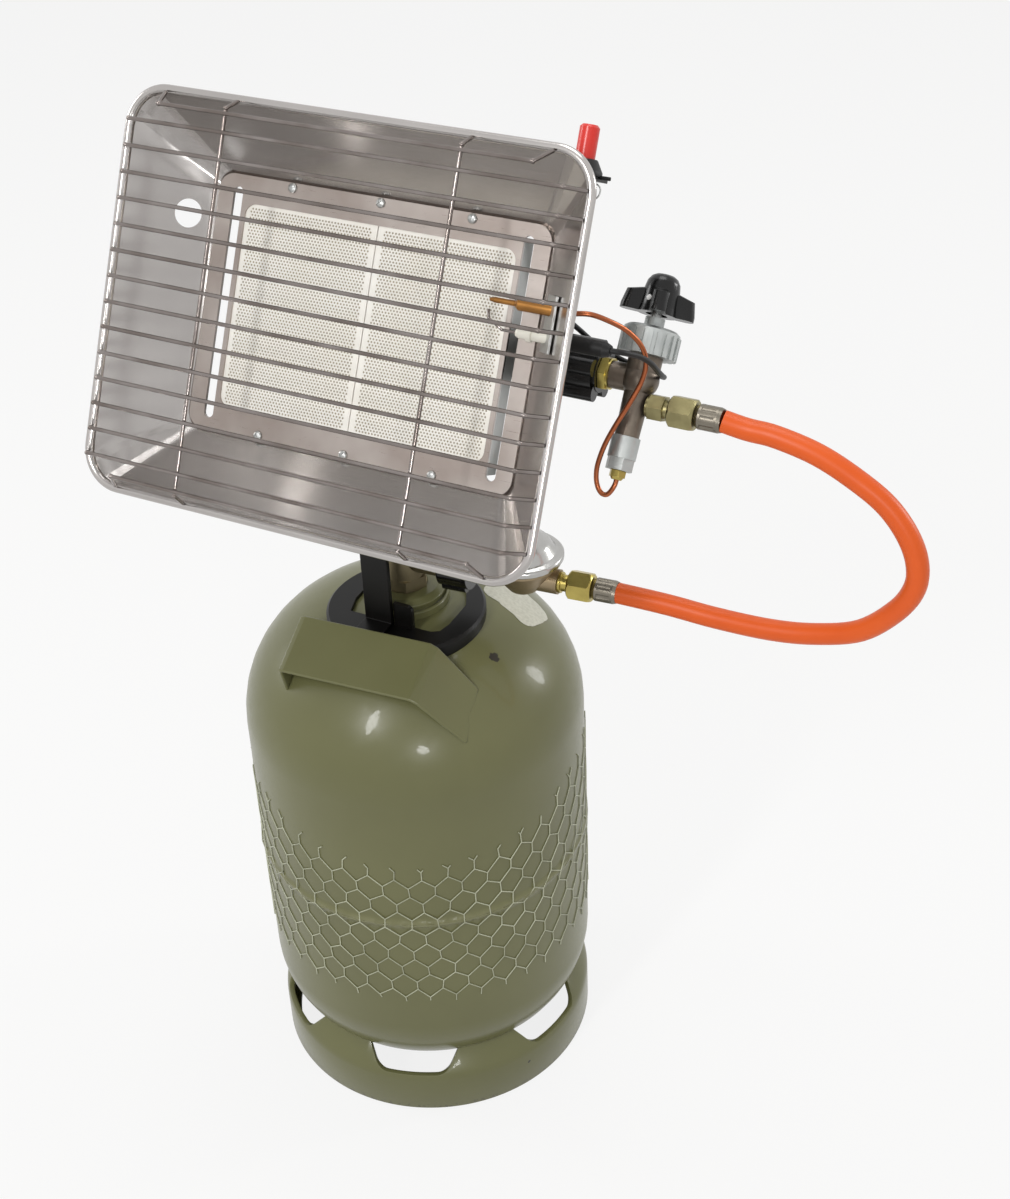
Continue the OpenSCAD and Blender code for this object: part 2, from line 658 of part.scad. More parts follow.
module ferrule(x0) difference() {
    x1 = x0 + hose_nut_l;
    union() {
        rod_x(x0 + 9.2, x1 + 2, 4.1);
        rod_x(x1 + seat, x1 + 2.5, ferrule_d / 2 - 1.5, ferrule_d / 2);
        rod_x(x1 + 2.5 - eps, x1 + ferrule_l - 2, ferrule_d / 2);
        rod_x(x1 + ferrule_l - 2 - eps, x1 + ferrule_l, ferrule_d / 2, ferrule_d / 2 - 0.6);
    }
    rod_x(x0 + 9, x1 + ferrule_l + 1, 2);
    for (k = [1:ferrule_flutes]) rotate([360 / ferrule_flutes * k, 0, 0])
        translate([0, ferrule_d / 2 + 3 - flute_depth, 0]) rod_x(x1 + 4, x1 + ferrule_l - 3.4, 3, n = 32);
}

module hose_nut_low() brass() at_outlet() hose_nut(reg_nut_x);
module ferrule_low() zinc() at_outlet() ferrule(reg_nut_x);
module at_port() at_head()
    translate([0, -port_drop * cos(tap_turn), port_drop * sin(tap_turn) - pivot_depth]) children();
module hose_nut_high() brass() at_port() hose_nut(hose_nut_x);
module ferrule_high() zinc() at_port() ferrule(hose_nut_x);

// The hose's own route, in the bottle's frame, from the tap down to the regulator.
hose_top = [hose_start_x, pivot_y - port_drop * sin(tilt_rest + tap_turn),
    pivot_z - port_drop * cos(tilt_rest + tap_turn)];
hose_low = [reg_hose_x * cos(outlet_turn), reg_hose_x * sin(outlet_turn), outlet_z];
hose_bends = [[226, 11, 539], [243, 11, 538], [268, 11, 532], [291, 11, 521], [309, 12, 508],
    [322, 12, 492], [329, 12, 475], [329, 12, 458], [320, 12, 440], [300, 12, 420], [273, 13, 409],
    [245, 13, 404], [210, 14, 402], [178, 14, 403]];
hose_steps = 3;

module hose() color([0.93, 0.36, 0.10])
    tube(smooth(concat([hose_top], hose_bends, [hose_low]), hose_steps), hose_d / 2, 12, [0, 1, 0],
        [1, 0, 0], [-cos(outlet_turn), -sin(outlet_turn), 0]);

// ---- Holder on the bottle's neck ----

module holder_ring() black() difference() {
    r = holder_d / 2;
    w = holder_open_w / 2;
    union() {
        translate([holder_x, -holder_y, 0]) rotate_extrude($fn = turn_n) polygon([
            [15, plate_low], [r - 2.4, plate_low], [r - 2.4, plate_low - 12], [r, plate_low - 12],
            [r, holder_top - 1.6], [r - 1.6, holder_top], [15, holder_top]]);
        translate([arm_w / 2 + 0.3, -arm_y - 0.5, plate_low]) {
            cube([lug_w, arm_y + 0.5 - holder_open_y, lug_h + holder_t - 4]);
            cube([lug_w - 4, arm_y + 0.5 - holder_open_y, lug_h + holder_t]);
            translate([lug_w - 4, 0, lug_h + holder_t - 4]) rotate([-90, 0, 0])
                cylinder(h = arm_y + 0.5 - holder_open_y, r = 4, $fn = small_n);
        }
    }
    translate([holder_x + 1, 0, plate_low - 5]) linear_extrude(10) polygon([
        [-w + 4, -holder_open_y], [w - 7, -holder_open_y], [w - 2, -holder_open_y + 3],
        [w, -holder_open_y + 12], [w, 4], [w - 9, 22], [w - 22, 30], [-w + 22, 30], [-w + 6, 24],
        [-w, 8], [-w, -holder_open_y + 14]]);
    translate([-80, -80 - 55, plate_low - 20]) cube([160, 80, 40]);
    dome_solid(0.15);
}

// Upright flat bar, with its foot turned forward on to the holder ring.
module holder_arm() black() {
    foot_z = holder_top + seat;
    difference() {
        translate([-arm_w / 2, -arm_y - arm_t, foot_z]) cube([arm_w, arm_t, pivot_z - foot_z]);
        at_yoke() translate([-100, -150, -yoke_len - arm_t / 2 - seat]) cube([200, 300, 400]);
    }
    translate([-arm_w / 2, -arm_y - arm_t - 13, foot_z]) cube([arm_w, 13 + eps, 3]);
}

module yoke() black() at_yoke() {
    leg = yoke_len - yoke_bend_r + arm_t / 2;
    difference() {
        union() {
            translate([-bar_side + yoke_bend_r, -yoke_bar_w / 2, -yoke_len - arm_t / 2])
                cube([2 * (bar_side - yoke_bend_r), yoke_bar_w, arm_t]);
            for (s = [0, 1]) mirror([s, 0, 0]) {
                translate([bar_side - arm_t, -yoke_bar_w / 2, -leg]) cube([arm_t, yoke_bar_w, leg]);
                rod_x(bar_side - arm_t, bar_side, yoke_eye_r);
                translate([bar_side - yoke_bend_r, yoke_bar_w / 2, -leg]) rotate([90, 0, 0])
                    mirror([0, 1, 0]) rotate_extrude(angle = 90, $fn = turn_n)
                        translate([yoke_bend_r - arm_t, 0]) square([arm_t, yoke_bar_w]);
            }
        }
        rod_x(bar_side - arm_t - 1, bar_side + 1, stub_r + bolt_gap);
        rod_x(-bar_side - 1, -bar_side + arm_t + 1, bolt_d / 2 + bolt_gap);
    }
}

// ---- Tilt pivots ----

module at_axis() at_head() translate([0, 0, -pivot_depth]) children();

module pivot_bolt() zinc() at_axis() {
    rod_x(-bar_side - 8, -side_frame_x + 10, bolt_d / 2);
    hex_x(-side_frame_x + side_frame_t / 2 + seat, -side_frame_x + side_frame_t / 2 + 5.5, 13);
}

module pivot_nut() zinc() at_axis() difference() {
    union() {
        hex_x(-bar_side - 7.5, -bar_side - 1.8, 13);
        rod_x(-bar_side - 1.8 - eps, -bar_side - seat, 8.5);
    }
    rod_x(-bar_side - 9, -bar_side + 1, bolt_d / 2 + 0.05);
}

module friction_washers() color([0.35, 0.33, 0.30]) at_axis() {
    x0 = side_frame_x + side_frame_t / 2 + seat;
    x1 = yoke_inside_w / 2 - seat;
    difference() {
        rod_x(x0, x1, 13);
        rod_x(x0 - 1, x1 + 1, stub_r + bolt_gap);
    }
    difference() {
        rod_x(-x1, -x0, 13);
        rod_x(-x1 - 1, -x0 + 1, bolt_d / 2 + bolt_gap);
    }
}

module star_nut() black() at_axis() {
    r = star_d / 2;
    difference() {
        union() {
            rod_x(star_x, star_x + star_l, stub_r + 4);
            rod_x(star_x + 6, star_x + star_l - 2, r - 5);
            for (k = [0:4]) rotate([72 * k + 9, 0, 0]) translate([0, r - 5, 0])
                rod_x(star_x + 5, star_x + star_l - 0.5, 5, n = 24);
        }
        rod_x(star_x - 1, star_x + star_l + 1, stub_r + bolt_gap);
    }
}

// ---- Reflector ----

module pan_solid(grow, floor_z, top_z) hull() {
    g = 2 * grow;
    translate([0, 0, floor_z]) linear_extrude(eps)
        round_rect(floor_w + g, floor_h + g, floor_corner_r + grow, 24);
    translate([0, 0, top_z - eps]) linear_extrude(eps)
        round_rect(rim_w - bead_d + g, rim_h - bead_d + g, rim_corner_r - bead_d / 2 + grow, 24);
}

module air_slots() for (s = [-1, 1]) translate([s * slot_x, 0, -5]) {
    translate([-slot_w / 2, -slot_l / 2 + slot_w / 2, 0]) cube([slot_w, slot_l - slot_w, 10]);
    for (e = [-1, 1]) translate([0, e * (slot_l - slot_w) / 2, 0])
        cylinder(h = 10, r = slot_w / 2, $fn = small_n);
}

module reflector() steel() at_head() {
    difference() {
        pan_solid(0, -sheet_t, rim_z);
        pan_solid(-sheet_t, 0, rim_z + 0.02);
        cube([housing_w - 2 * housing_t - 0.6, housing_h - 2 * housing_t - 0.6, 10], center = true);
        air_slots();
        screw_holes();
        translate([-floor_w / 2 - wall_slope * spare_hole_z, 49.3, spare_hole_z])
            rotate([0, 90 - wall_angle, 0])
                cylinder(h = 12, r = spare_hole_d / 2, center = true, $fn = small_n);
        translate([probe_wall, probe_y, probe_z]) rod_x(-17, 23, probe_d / 2 + bolt_gap);
        translate([probe_wall, spark_y, probe_z]) rod_x(-17, 23, ceramic_d / 2 + bolt_gap);
    }
    rim_bead();
}

spare_hole_z = 13;
wall_slope = ((rim_w - bead_d) - floor_w) / 2 / rim_z;
probe_wall = floor_w / 2 + wall_slope * probe_z;
wall_angle = atan(wall_slope);
screw_xs = [-59.5, 0, 59.5];
screw_inset = 4.55;      // from the floor's edge to the middle of a screw
screw_y = floor_h / 2 - screw_inset;
screw_r = 2;

module screw_holes()
    for (x = screw_xs, y = [-1, 1]) translate([x, y * screw_y, -8])
        cylinder(h = 16, r = screw_r + bolt_gap, $fn = small_n);

module rim_bead() {
    w = (rim_w - bead_d) / 2;
    h = (rim_h - bead_d) / 2;
    c = rim_corner_r - bead_d / 2;
    translate([0, 0, rim_z]) {
        for (s = [-1, 1]) {
            translate([0, s * h, 0]) rod_x(-w + c, w - c, bead_d / 2);
            translate([s * w, 0, 0]) rotate([90, 0, 0])
                cylinder(h = 2 * (h - c), r = bead_d / 2, center = true, $fn = small_n);
        }
        for (k = [0:3]) mirror([k % 2, 0, 0]) mirror([0, floor(k / 2), 0]) translate([w - c, h - c, 0])
            rotate_extrude(angle = 90, $fn = turn_n) translate([c, 0]) circle(r = bead_d / 2, $fn = small_n);
    }
}

// ---- Burner ----

module burner_frame() steel() at_head() difference() {
    linear_extrude(frame_t) round_rect(floor_w - 3, floor_h - 3, floor_corner_r);
    translate([0, 0, -1]) linear_extrude(frame_t + 2) round_rect(window_w, window_h, window_r);
    air_slots();
    screw_holes();
}

module frame_screws() zinc() at_head() for (x = screw_xs, y = [-1, 1]) translate([x, y * screw_y, 0]) {
    translate([0, 0, -4.5]) cylinder(h = frame_t + 4.5 + 0.5, r = screw_r, $fn = small_n);
    translate([0, 0, frame_t + seat]) cylinder(h = 2, r1 = 3.8, r2 = 2.4, $fn = small_n);
}

module plaque(s) ceramic() at_head()
    translate([s * (plaque_w + plaque_joint) / 2, 0, -plaque_back / 2 - 0.1])
        cube([plaque_w, plaque_h, plaque_t], center = true);
module plaque_left() plaque(-1);
module plaque_right() plaque(1);

module plaque_gasket() color([0.85, 0.83, 0.76]) at_head()
    translate([0, 0, -plaque_back - gasket_t]) linear_extrude(gasket_t - seat) difference() {
        square([housing_w - 2 * housing_t - 0.6, housing_h - 2 * housing_t - 0.6], center = true);
        square([2 * plaque_w - 9, plaque_h - 11], center = true);
    }

module burner_housing() zinc() at_head() difference() {
    union() {
        translate([0, 0, -plate_back - seat - 1.5]) linear_extrude(1.5)
            square([housing_w, floor_h - 2], center = true);
        translate([0, 0, -housing_straight]) linear_extrude(housing_straight - plate_back - seat)
            square([housing_w, housing_h], center = true);
        hull() {
            translate([0, 0, -housing_straight]) linear_extrude(0.1)
                square([housing_w, housing_h], center = true);
            translate([0, 0, -housing_depth]) linear_extrude(0.1)
                square([housing_back_w, housing_back_h], center = true);
        }
    }
    translate([0, 0, -plaque_back - gasket_t - seat]) linear_extrude(30)
        square([housing_w - 2 * housing_t, housing_h - 2 * housing_t], center = true);
    hull() {
        translate([0, 0, -housing_straight + 0.6]) linear_extrude(2)
            square([2 * plaque_w - 9, plaque_h - 11], center = true);
        translate([0, 0, -housing_depth + 1.2]) linear_extrude(0.1)
            square([housing_back_w - 4, housing_back_h - 4], center = true);
    }
    screw_holes();
    translate([-mixer_end_x, 0, -housing_depth - 1]) cylinder(h = 5, r = mixer_r - 2, $fn = small_n);
}

module mixing_tube() steel() at_head() difference() {
    union() {
        translate([0, 0, -pivot_depth]) {
            rod_x(-mixer_end_x - mixer_r - 2, mixer_mouth_x - 12, mixer_r);
            rod_x(mixer_mouth_x - 12 - eps, mixer_mouth_x, mixer_r, mixer_r + 4);
        }
        translate([-mixer_end_x, 0, -pivot_depth])
            cylinder(h = pivot_depth - housing_depth - seat, r = mixer_r - 1, $fn = small_n);
    }
    translate([0, 0, -pivot_depth]) {
        rod_x(-mixer_end_x - mixer_r, mixer_mouth_x - 12, mixer_r - mixer_wall);
        rod_x(mixer_mouth_x - 12 - eps, mixer_mouth_x + 1, mixer_r - mixer_wall, mixer_r - mixer_wall + 4.3);
    }
    translate([-mixer_end_x, 0, -pivot_depth]) cylinder(h = 30, r = mixer_r - 1 - mixer_wall, $fn = small_n);
}

module injector() brass() at_axis() difference() {
    union() {
        hex_x(mixer_mouth_x + 3, side_frame_x - side_frame_t / 2 - 4 - seat, 14);
        rod_x(mixer_mouth_x - 3, mixer_mouth_x + 3 + eps, 2, 4);
    }
    rod_x(mixer_mouth_x - 4, mixer_mouth_x + 30, 0.6, n = 16);
}

// Hollow brass stub on the tilt axis: it carries the burner, the star nut and the gas tap.
module tap_stub() brass() at_axis() difference() {
    union() {
        rod_x(side_frame_x - side_frame_t / 2 - 4, side_frame_x - side_frame_t / 2 - seat, stub_r + 3);
        rod_x(side_frame_x - side_frame_t / 2 - seat - eps, tap_arm_x - seat, stub_r);
    }
    rod_x(side_frame_x - 10, tap_arm_x + 1, gas_way_d / 2);
}

// Arched side frame between the reflector's floor and a tilt pivot, clear of the air slot.
module side_frame(s, hole_r) zinc() at_head() translate([s * side_frame_x, 0, 0]) rotate([90, 0, 90])
    translate([0, 0, -side_frame_t / 2]) difference() {
        linear_extrude(side_frame_t) polygon([
            [-floor_h / 2 + 1, -plate_back - seat], [-floor_h / 2 + 1, -12], [-28, -pivot_depth - 10],
            [-14, -pivot_depth - 15], [14, -pivot_depth - 15], [28, -pivot_depth - 10],
            [floor_h / 2 - 1, -12], [floor_h / 2 - 1, -plate_back - seat],
            [slot_l / 2 + 1.5, -plate_back - seat], [slot_l / 2 + 1.5, -8], [24, -pivot_depth + 16],
            [-24, -pivot_depth + 16], [-slot_l / 2 - 1.5, -8], [-slot_l / 2 - 1.5, -plate_back - seat]]);
        translate([0, -pivot_depth, -1]) cylinder(h = side_frame_t + 2, r = hole_r, $fn = small_n);
    }
module side_frame_left() side_frame(-1, bolt_d / 2 + bolt_gap);
module side_frame_right() side_frame(1, stub_r + bolt_gap);

// ---- Grille ----

bead_x = (rim_w - bead_d) / 2;
bead_y = (rim_h - bead_d) / 2;
wire_r = wire_d / 2;

// Point on the way from a to the rim's centre line c, where the wire meets the rim.
function rim_seat(a, c) = c + unit(a - c) * (bead_d / 2 + wire_r * 0.6);

module grille_wires() steel() at_head() {
    for (i = [0:wire_count - 1]) {
        y = ((wire_count - 1) / 2 - i) * wire_pitch;
        a = [wire_l / 2, y, grille_z];
        e = rim_seat(a, [bead_x, y, rim_z]);
        wire([[-e[0], y, e[2]], [-a[0], y, grille_z], a, e], wire_r);
    }
    for (s = [-1, 1]) {
        y = s * end_wire_y;
        foot_y = s * (bead_y - 2);
        e = rim_seat([123, s * bead_y, grille_z], [123, s * bead_y, rim_z]);
        wire([[-e[0], foot_y, e[2]], [-118, y, grille_z], [118, y, grille_z], [e[0], foot_y, e[2]]], wire_r);
    }
}

module grille_ties() steel() at_head() for (s = [-1, 1]) {
    z = grille_z - wire_d - 0.05;
    top = [s * tie_x, end_wire_y + 3, z];
    e = rim_seat(top, [s * tie_x, bead_y, rim_z]);
    wire([[e[0], -e[1], e[2]], [top[0], -top[1], z], top, e], wire_r);
}

// ---- Gas tap ----

bonnet_z = tap_ball_d / 2 + 2.8;
spindle_z = bonnet_z + bonnet_h;
knob_z = spindle_z + 8;

module tap_body() color([0.48, 0.41, 0.30]) at_tap() difference() {
    union() {
        sphere(r = tap_ball_d / 2, $fn = small_n);
        rod_x(tap_arm_x - tap_x, 0, tap_arm_d / 2);
        translate([0, 0, -barrel_l])
            cylinder(h = barrel_l, r1 = barrel_d / 2 - 0.8, r2 = barrel_d / 2, $fn = small_n);
        cylinder(h = bonnet_z - seat, r = 10, $fn = small_n);
    }
    rod_x(tap_arm_x - tap_x - 1, -4, gas_way_d / 2);
    translate([0, 0, -barrel_l - 1]) cylinder(h = barrel_l + 8, r = gas_way_d / 2, $fn = small_n);
    translate([0, 0, -port_drop]) rod_x(0, barrel_d, gas_way_d / 2 - 1);
}

module tap_lock_nut() brass() at_axis() difference() {
    union() {
        hex_x(lock_nut_x, lock_nut_x + lock_nut_l - 1.5, 18);
        rod_x(lock_nut_x + lock_nut_l - 1.5 - eps, lock_nut_x + lock_nut_l - seat, 9);
    }
    rod_x(lock_nut_x - 1, lock_nut_x + lock_nut_l + 1, stub_r + 0.05);
}

module hose_port() brass() at_port() difference() {
    union() {
        rod_x(port_x + 0.3, port_x + 2, 6.5);
        hex_x(port_x + 2 - eps, port_x + 11, 14);
        rod_x(port_x + 11 - eps, hose_nut_x + 8, 5.4);
    }
    rod_x(port_x, hose_nut_x + 10, gas_way_d / 2 - 1);
}

module tap_bonnet() zinc() at_tap() translate([0, 0, bonnet_z]) difference() {
    union() {
        cylinder(h = bonnet_h - 1.5, r = bonnet_d / 2 - 1, $fn = turn_n);
        translate([0, 0, bonnet_h - 1.5 - eps])
            cylinder(h = 1.5 + eps, r1 = bonnet_d / 2 - 1, r2 = bonnet_d / 2 - 3, $fn = turn_n);
        for (k = [0:bonnet_ribs - 1]) rotate([0, 0, 360 / bonnet_ribs * k])
            translate([bonnet_d / 2 - 3, -1.4, 0]) cube([3, 2.8, bonnet_h - 3]);
        translate([0, 0, bonnet_h - eps]) cylinder(h = 6, r = 5.8, $fn = small_n);
    }
    translate([0, 0, bonnet_h - 10]) cylinder(h = 20, r = 3.2 + run_gap, $fn = small_n);
}

module tap_spindle() zinc() at_tap() translate([0, 0, bonnet_z + bonnet_h - 9.7 + knob_push])
    cylinder(h = knob_z + 11 - (bonnet_z + bonnet_h - 9.7 + knob_push), r = 3.2, $fn = small_n);

module tap_knob() black() at_tap() translate([0, 0, knob_z]) difference() {
    r = knob_d / 2;
    union() {
        rotate_extrude($fn = turn_n) polygon([
            [0, 0], [12, 0], [11.2, 5], [10.4, knob_h * 0.62], [9.6, knob_h * 0.8], [7.8, knob_h * 0.92],
            [5.5, knob_h * 0.98], [3, knob_h], [0, knob_h]]);
        for (k = [0:3]) rotate([0, 0, 90 * k + 20]) hull() {
            translate([r - 5, 0, 0]) cylinder(h = 3, r = 5, $fn = 24);
            translate([r - 6.4, 0, 0]) cylinder(h = 11.4, r = 4.6, $fn = 24);
            cylinder(h = 15.6, r = 4.6, $fn = 24);
        }
    }
    translate([0, 0, -1]) cylinder(h = 7.5, r = 6.4, $fn = small_n);
    translate([0, 0, 6]) cylinder(h = 5 + seat, r = 3.25, $fn = small_n);
}

module magnet_unit() zinc() at_tap() difference() {
    union() {
        translate([0, 0, -barrel_l - magnet_l])
            cylinder(h = magnet_l - seat, r = magnet_d / 2, $fn = small_n);
        translate([0, 0, -barrel_l - magnet_l - 7]) cylinder(h = 7 + eps, r = 8.4, $fn = 6);
        translate([0, 0, -barrel_l - seat - eps]) cylinder(h = 5, r = gas_way_d / 2 - seat, $fn = small_n);
    }
    translate([0, 0, -barrel_l - magnet_l - 8]) cylinder(h = 5, r = 4.2, $fn = small_n);
}

gland_z = -barrel_l - magnet_l - 7;
module magnet_gland() brass() at_tap() difference() {
    union() {
        translate([0, 0, gland_z]) cylinder(h = 2.8, r = 4, $fn = small_n);
        translate([0, 0, gland_z - 4]) cylinder(h = 4 - seat, r = 5, $fn = 6);
        translate([0, 0, gland_z - 5.6]) cylinder(h = 1.6 + eps, r1 = 3, r2 = 4, $fn = small_n);
    }
    translate([0, 0, gland_z - 7]) cylinder(h = 12, r = copper_d / 2 + 2 * seat, $fn = small_n);
}

// ---- Flame guard and ignition ----

// Along X, it and the electrode are measured from the reflector's wall.
module thermocouple() color([0.72, 0.48, 0.18]) at_head() translate([probe_wall, probe_y, probe_z]) {
    rod_x(-40, -37, 0.9, 1.6, n = 24);
    rod_x(-37 - eps, -24, 1.6, n = 24);
    rod_x(-24 - eps, -22, 2, probe_d / 2, n = 24);
    rod_x(-22 - eps, 9, probe_d / 2);
}

// Copper lead from the thermocouple to the magnet unit, in the head's frame.
copper_end = [tap_x, (gland_z - 2) * cos(tap_turn), -pivot_depth - (gland_z - 2) * sin(tap_turn)];
copper_bends = [[146, 34, 17], [154, 32, 8], [161, 28, -4], [167, 21, -14], [169, 12, -21],
    [167, 1, -25], [162, -12, -26], [156, -25, -27], [150.5, -38, -29], [147, -50, -32],
    [146.5, -58, -34], [148, -64, -35.5], [151, -67.5, -36.3], [154.6, -67, -36.6]];
copper_out = [tap_x, (gland_z - 8.5) * cos(tap_turn), -pivot_depth - (gland_z - 8.5) * sin(tap_turn)];
module copper_lead() color([0.75, 0.42, 0.28]) at_head()
    tube(smooth(concat([[probe_wall + 9.2, probe_y, probe_z]], copper_bends, [copper_out, copper_end]), 2),
        copper_d / 2, 8, [0, 1, 0], [1, 0, 0], [0, cos(tap_turn), -sin(tap_turn)]);

// Plate inside the right wall that holds both.
module probe_bracket() zinc() at_head() difference() {
    translate([probe_wall, 0, probe_z]) rotate([0, wall_angle, 0])
        translate([-sheet_t - 2, spark_y - 8, -9]) cube([1.4, probe_y - spark_y + 16, 17]);
    translate([probe_wall, probe_y, probe_z]) rod_x(-17, 13, probe_d / 2 + bolt_gap);
    translate([probe_wall, spark_y, probe_z]) rod_x(-17, 13, ceramic_d / 2 + bolt_gap);
}

module spark_electrode() ceramic() at_head() translate([probe_wall, spark_y, probe_z]) difference() {
    union() {
        rod_x(-21, -19, ceramic_d / 2 - 1, ceramic_d / 2);
        rod_x(-19 - eps, 14, ceramic_d / 2);
        rod_x(-14, -11, ceramic_d / 2 + 1);
    }
    rod_x(-27, 23, 0.9, n = 24);
}

module electrode_wire() steel() at_head() translate([probe_wall, spark_y, probe_z])
    wire([[16, 0, 0], [-30, 0, 0], [-39, 5, 0], [-40, 10, 0]], 0.8, 14);

boot_end = 36;
module ignition_boot() black() at_head() translate([probe_wall, spark_y, probe_z]) difference() {
    union() {
        rod_x(10, boot_end - 4, 4.6);
        rod_x(boot_end - 4 - eps, boot_end, 4.6, 2.8);
    }
    rod_x(9, 14 + seat, ceramic_d / 2 + seat);
    rod_x(13, boot_end + 1, lead_d / 2 + seat, n = 24);
}

// Ignition lead from the boot, behind the tap and the reflector, up to the igniter, in the head's frame.
lead_bends = [[167.5, 17, 18], [170.5, 16.7, 12.5], [173.5, 15.7, 2], [175.3, 12.5, -12], [174.8, 8, -27],
    [172.5, 5, -42], [168.5, 3.5, -56], [159.5, 3.5, -67], [147, 5, -72.5], [132, 8.5, -73], [119, 14, -68],
    [111, 21, -58], [108, 26, -46], [107.5, 31, -34], [109.5, 38, -24], [113.5, 47, -15]];
module ignition_lead() black() at_head() {
    in_boot = [for (x = [19, 27, 33, boot_end + 0.4]) [probe_wall + x, spark_y, probe_z]];
    end = [igniter_x, igniter_tail_y + 2, -igniter_depth];
    tube(smooth(concat(in_boot, lead_bends, [end]), 2), lead_d / 2, 8, [0, 1, 0], [1, 0, 0], [0, 1, 0]);
}

igniter_y = rim_h / 2 - 13;
igniter_tail_y = igniter_y - igniter_l;
shelf_t = 2;

module igniter_bracket() black() at_head() {
    x0 = side_frame_x + side_frame_t / 2 + seat;
    translate([x0, floor_h / 2 - 7, -24]) cube([shelf_t, igniter_y - floor_h / 2 + 7, 21]);
    difference() {
        translate([x0, igniter_y - shelf_t, -24]) cube([igniter_x + 11 - x0, shelf_t, 24]);
        translate([igniter_x, igniter_y + 1, -igniter_depth]) rotate([90, 0, 0])
            cylinder(h = shelf_t + 2, r = igniter_d / 2 - 1 + bolt_gap, $fn = small_n);
    }
}

module at_igniter()
    at_head() translate([igniter_x, igniter_y, -igniter_depth]) rotate([-90, 0, 0]) children();

module igniter_body() black() at_igniter() difference() {
    union() {
        translate([0, 0, igniter_tail_y + 4 - igniter_y])
            cylinder(h = igniter_y - shelf_t - seat - igniter_tail_y - 4, r = igniter_d / 2, $fn = small_n);
        translate([0, 0, -shelf_t - 1]) cylinder(h = shelf_t + 1 + 8, r = igniter_d / 2 - 1, $fn = small_n);
    }
    translate([0, 0, 8 - button_push - 5]) cylinder(h = 20, r = button_d / 2 + run_gap, $fn = small_n);
    translate([0, 0, igniter_tail_y - igniter_y]) cylinder(h = 9, r = lead_d / 2 + seat, $fn = 24);
}

module igniter_nut() black() at_igniter() translate([0, 0, seat]) difference() {
    cylinder(h = 4.5, r = igniter_d / 2 + 3, $fn = small_n);
    translate([0, 0, -1]) cylinder(h = 7, r = igniter_d / 2 - 1 + seat, $fn = small_n);
}

module igniter_button() color([0.85, 0.16, 0.12]) at_igniter() {
    translate([0, 0, 8 - 4.5]) cylinder(h = button_l + 4.5 - 1.5, r = button_d / 2, $fn = small_n);
    translate([0, 0, 8 + button_l - 1.5 - eps])
        cylinder(h = 1.5, r1 = button_d / 2, r2 = button_d / 2 - 1.5, $fn = small_n);
}

shell_lower();
shell_upper();
foot_ring();
valve_boss();
neck_ring();
id_plate();
net_sleeve();
bottle_valve();
valve_bonnet();
hand_wheel();
regulator_body();
regulator_dome();
regulator_tail();
union_nut();
hose_nut_low();
ferrule_low();
hose();
ferrule_high();
hose_nut_high();
holder_ring();
holder_arm();
yoke();
pivot_bolt();
pivot_nut();
reflector();
burner_frame();
frame_screws();
plaque_left();
plaque_right();
plaque_gasket();
burner_housing();
mixing_tube();
injector();
tap_stub();
side_frame_left();
side_frame_right();
friction_washers();
star_nut();
grille_wires();
grille_ties();
tap_body();
tap_lock_nut();
hose_port();
tap_bonnet();
tap_spindle();
tap_knob();
magnet_unit();
magnet_gland();
thermocouple();
copper_lead();
probe_bracket();
spark_electrode();
electrode_wire();
ignition_boot();
ignition_lead();
igniter_bracket();
igniter_body();
igniter_nut();
igniter_button();
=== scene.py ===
"""Looks of a portable gas radiant heater that stands on its own gas bottle.

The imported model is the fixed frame: +Z up, the burner faces -Y, and the gas tap is on the +X side.
Each class below is one sub-assembly. It dresses its nodes and builds the pieces that finish them.
"""

from __future__ import annotations

import json
import logging
import math
import random
from collections.abc import Iterable, Sequence
from dataclasses import dataclass
from enum import Enum
from typing import Any

import bpy
from mathutils import Matrix, Vector

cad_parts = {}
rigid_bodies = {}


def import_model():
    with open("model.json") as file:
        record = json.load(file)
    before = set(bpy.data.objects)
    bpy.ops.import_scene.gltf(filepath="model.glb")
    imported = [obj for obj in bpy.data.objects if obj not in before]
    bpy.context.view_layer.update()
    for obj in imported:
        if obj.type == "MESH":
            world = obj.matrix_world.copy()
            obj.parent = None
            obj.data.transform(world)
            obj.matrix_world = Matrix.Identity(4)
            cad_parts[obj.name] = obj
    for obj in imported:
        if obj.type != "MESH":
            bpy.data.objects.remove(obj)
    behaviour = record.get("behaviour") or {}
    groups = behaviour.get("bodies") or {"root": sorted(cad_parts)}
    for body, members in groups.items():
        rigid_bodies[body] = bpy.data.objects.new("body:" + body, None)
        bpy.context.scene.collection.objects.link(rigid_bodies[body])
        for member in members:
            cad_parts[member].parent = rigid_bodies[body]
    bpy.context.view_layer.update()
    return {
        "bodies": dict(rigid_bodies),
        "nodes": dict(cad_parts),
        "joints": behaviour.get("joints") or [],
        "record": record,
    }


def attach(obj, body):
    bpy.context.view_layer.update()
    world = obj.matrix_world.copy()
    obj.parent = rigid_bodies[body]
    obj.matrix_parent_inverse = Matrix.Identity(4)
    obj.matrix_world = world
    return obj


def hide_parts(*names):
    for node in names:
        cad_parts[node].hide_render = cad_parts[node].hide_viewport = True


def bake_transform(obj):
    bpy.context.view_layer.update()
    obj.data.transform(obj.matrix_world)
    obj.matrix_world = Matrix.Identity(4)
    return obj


log = logging.getLogger("heater")
Point = tuple[float, float, float]
Outline = tuple[tuple[float, float], ...]
Piece, Tree = bpy.types.Object, bpy.types.NodeTree
Socket, Outputs = bpy.types.NodeSocket, bpy.types.NodeOutputs

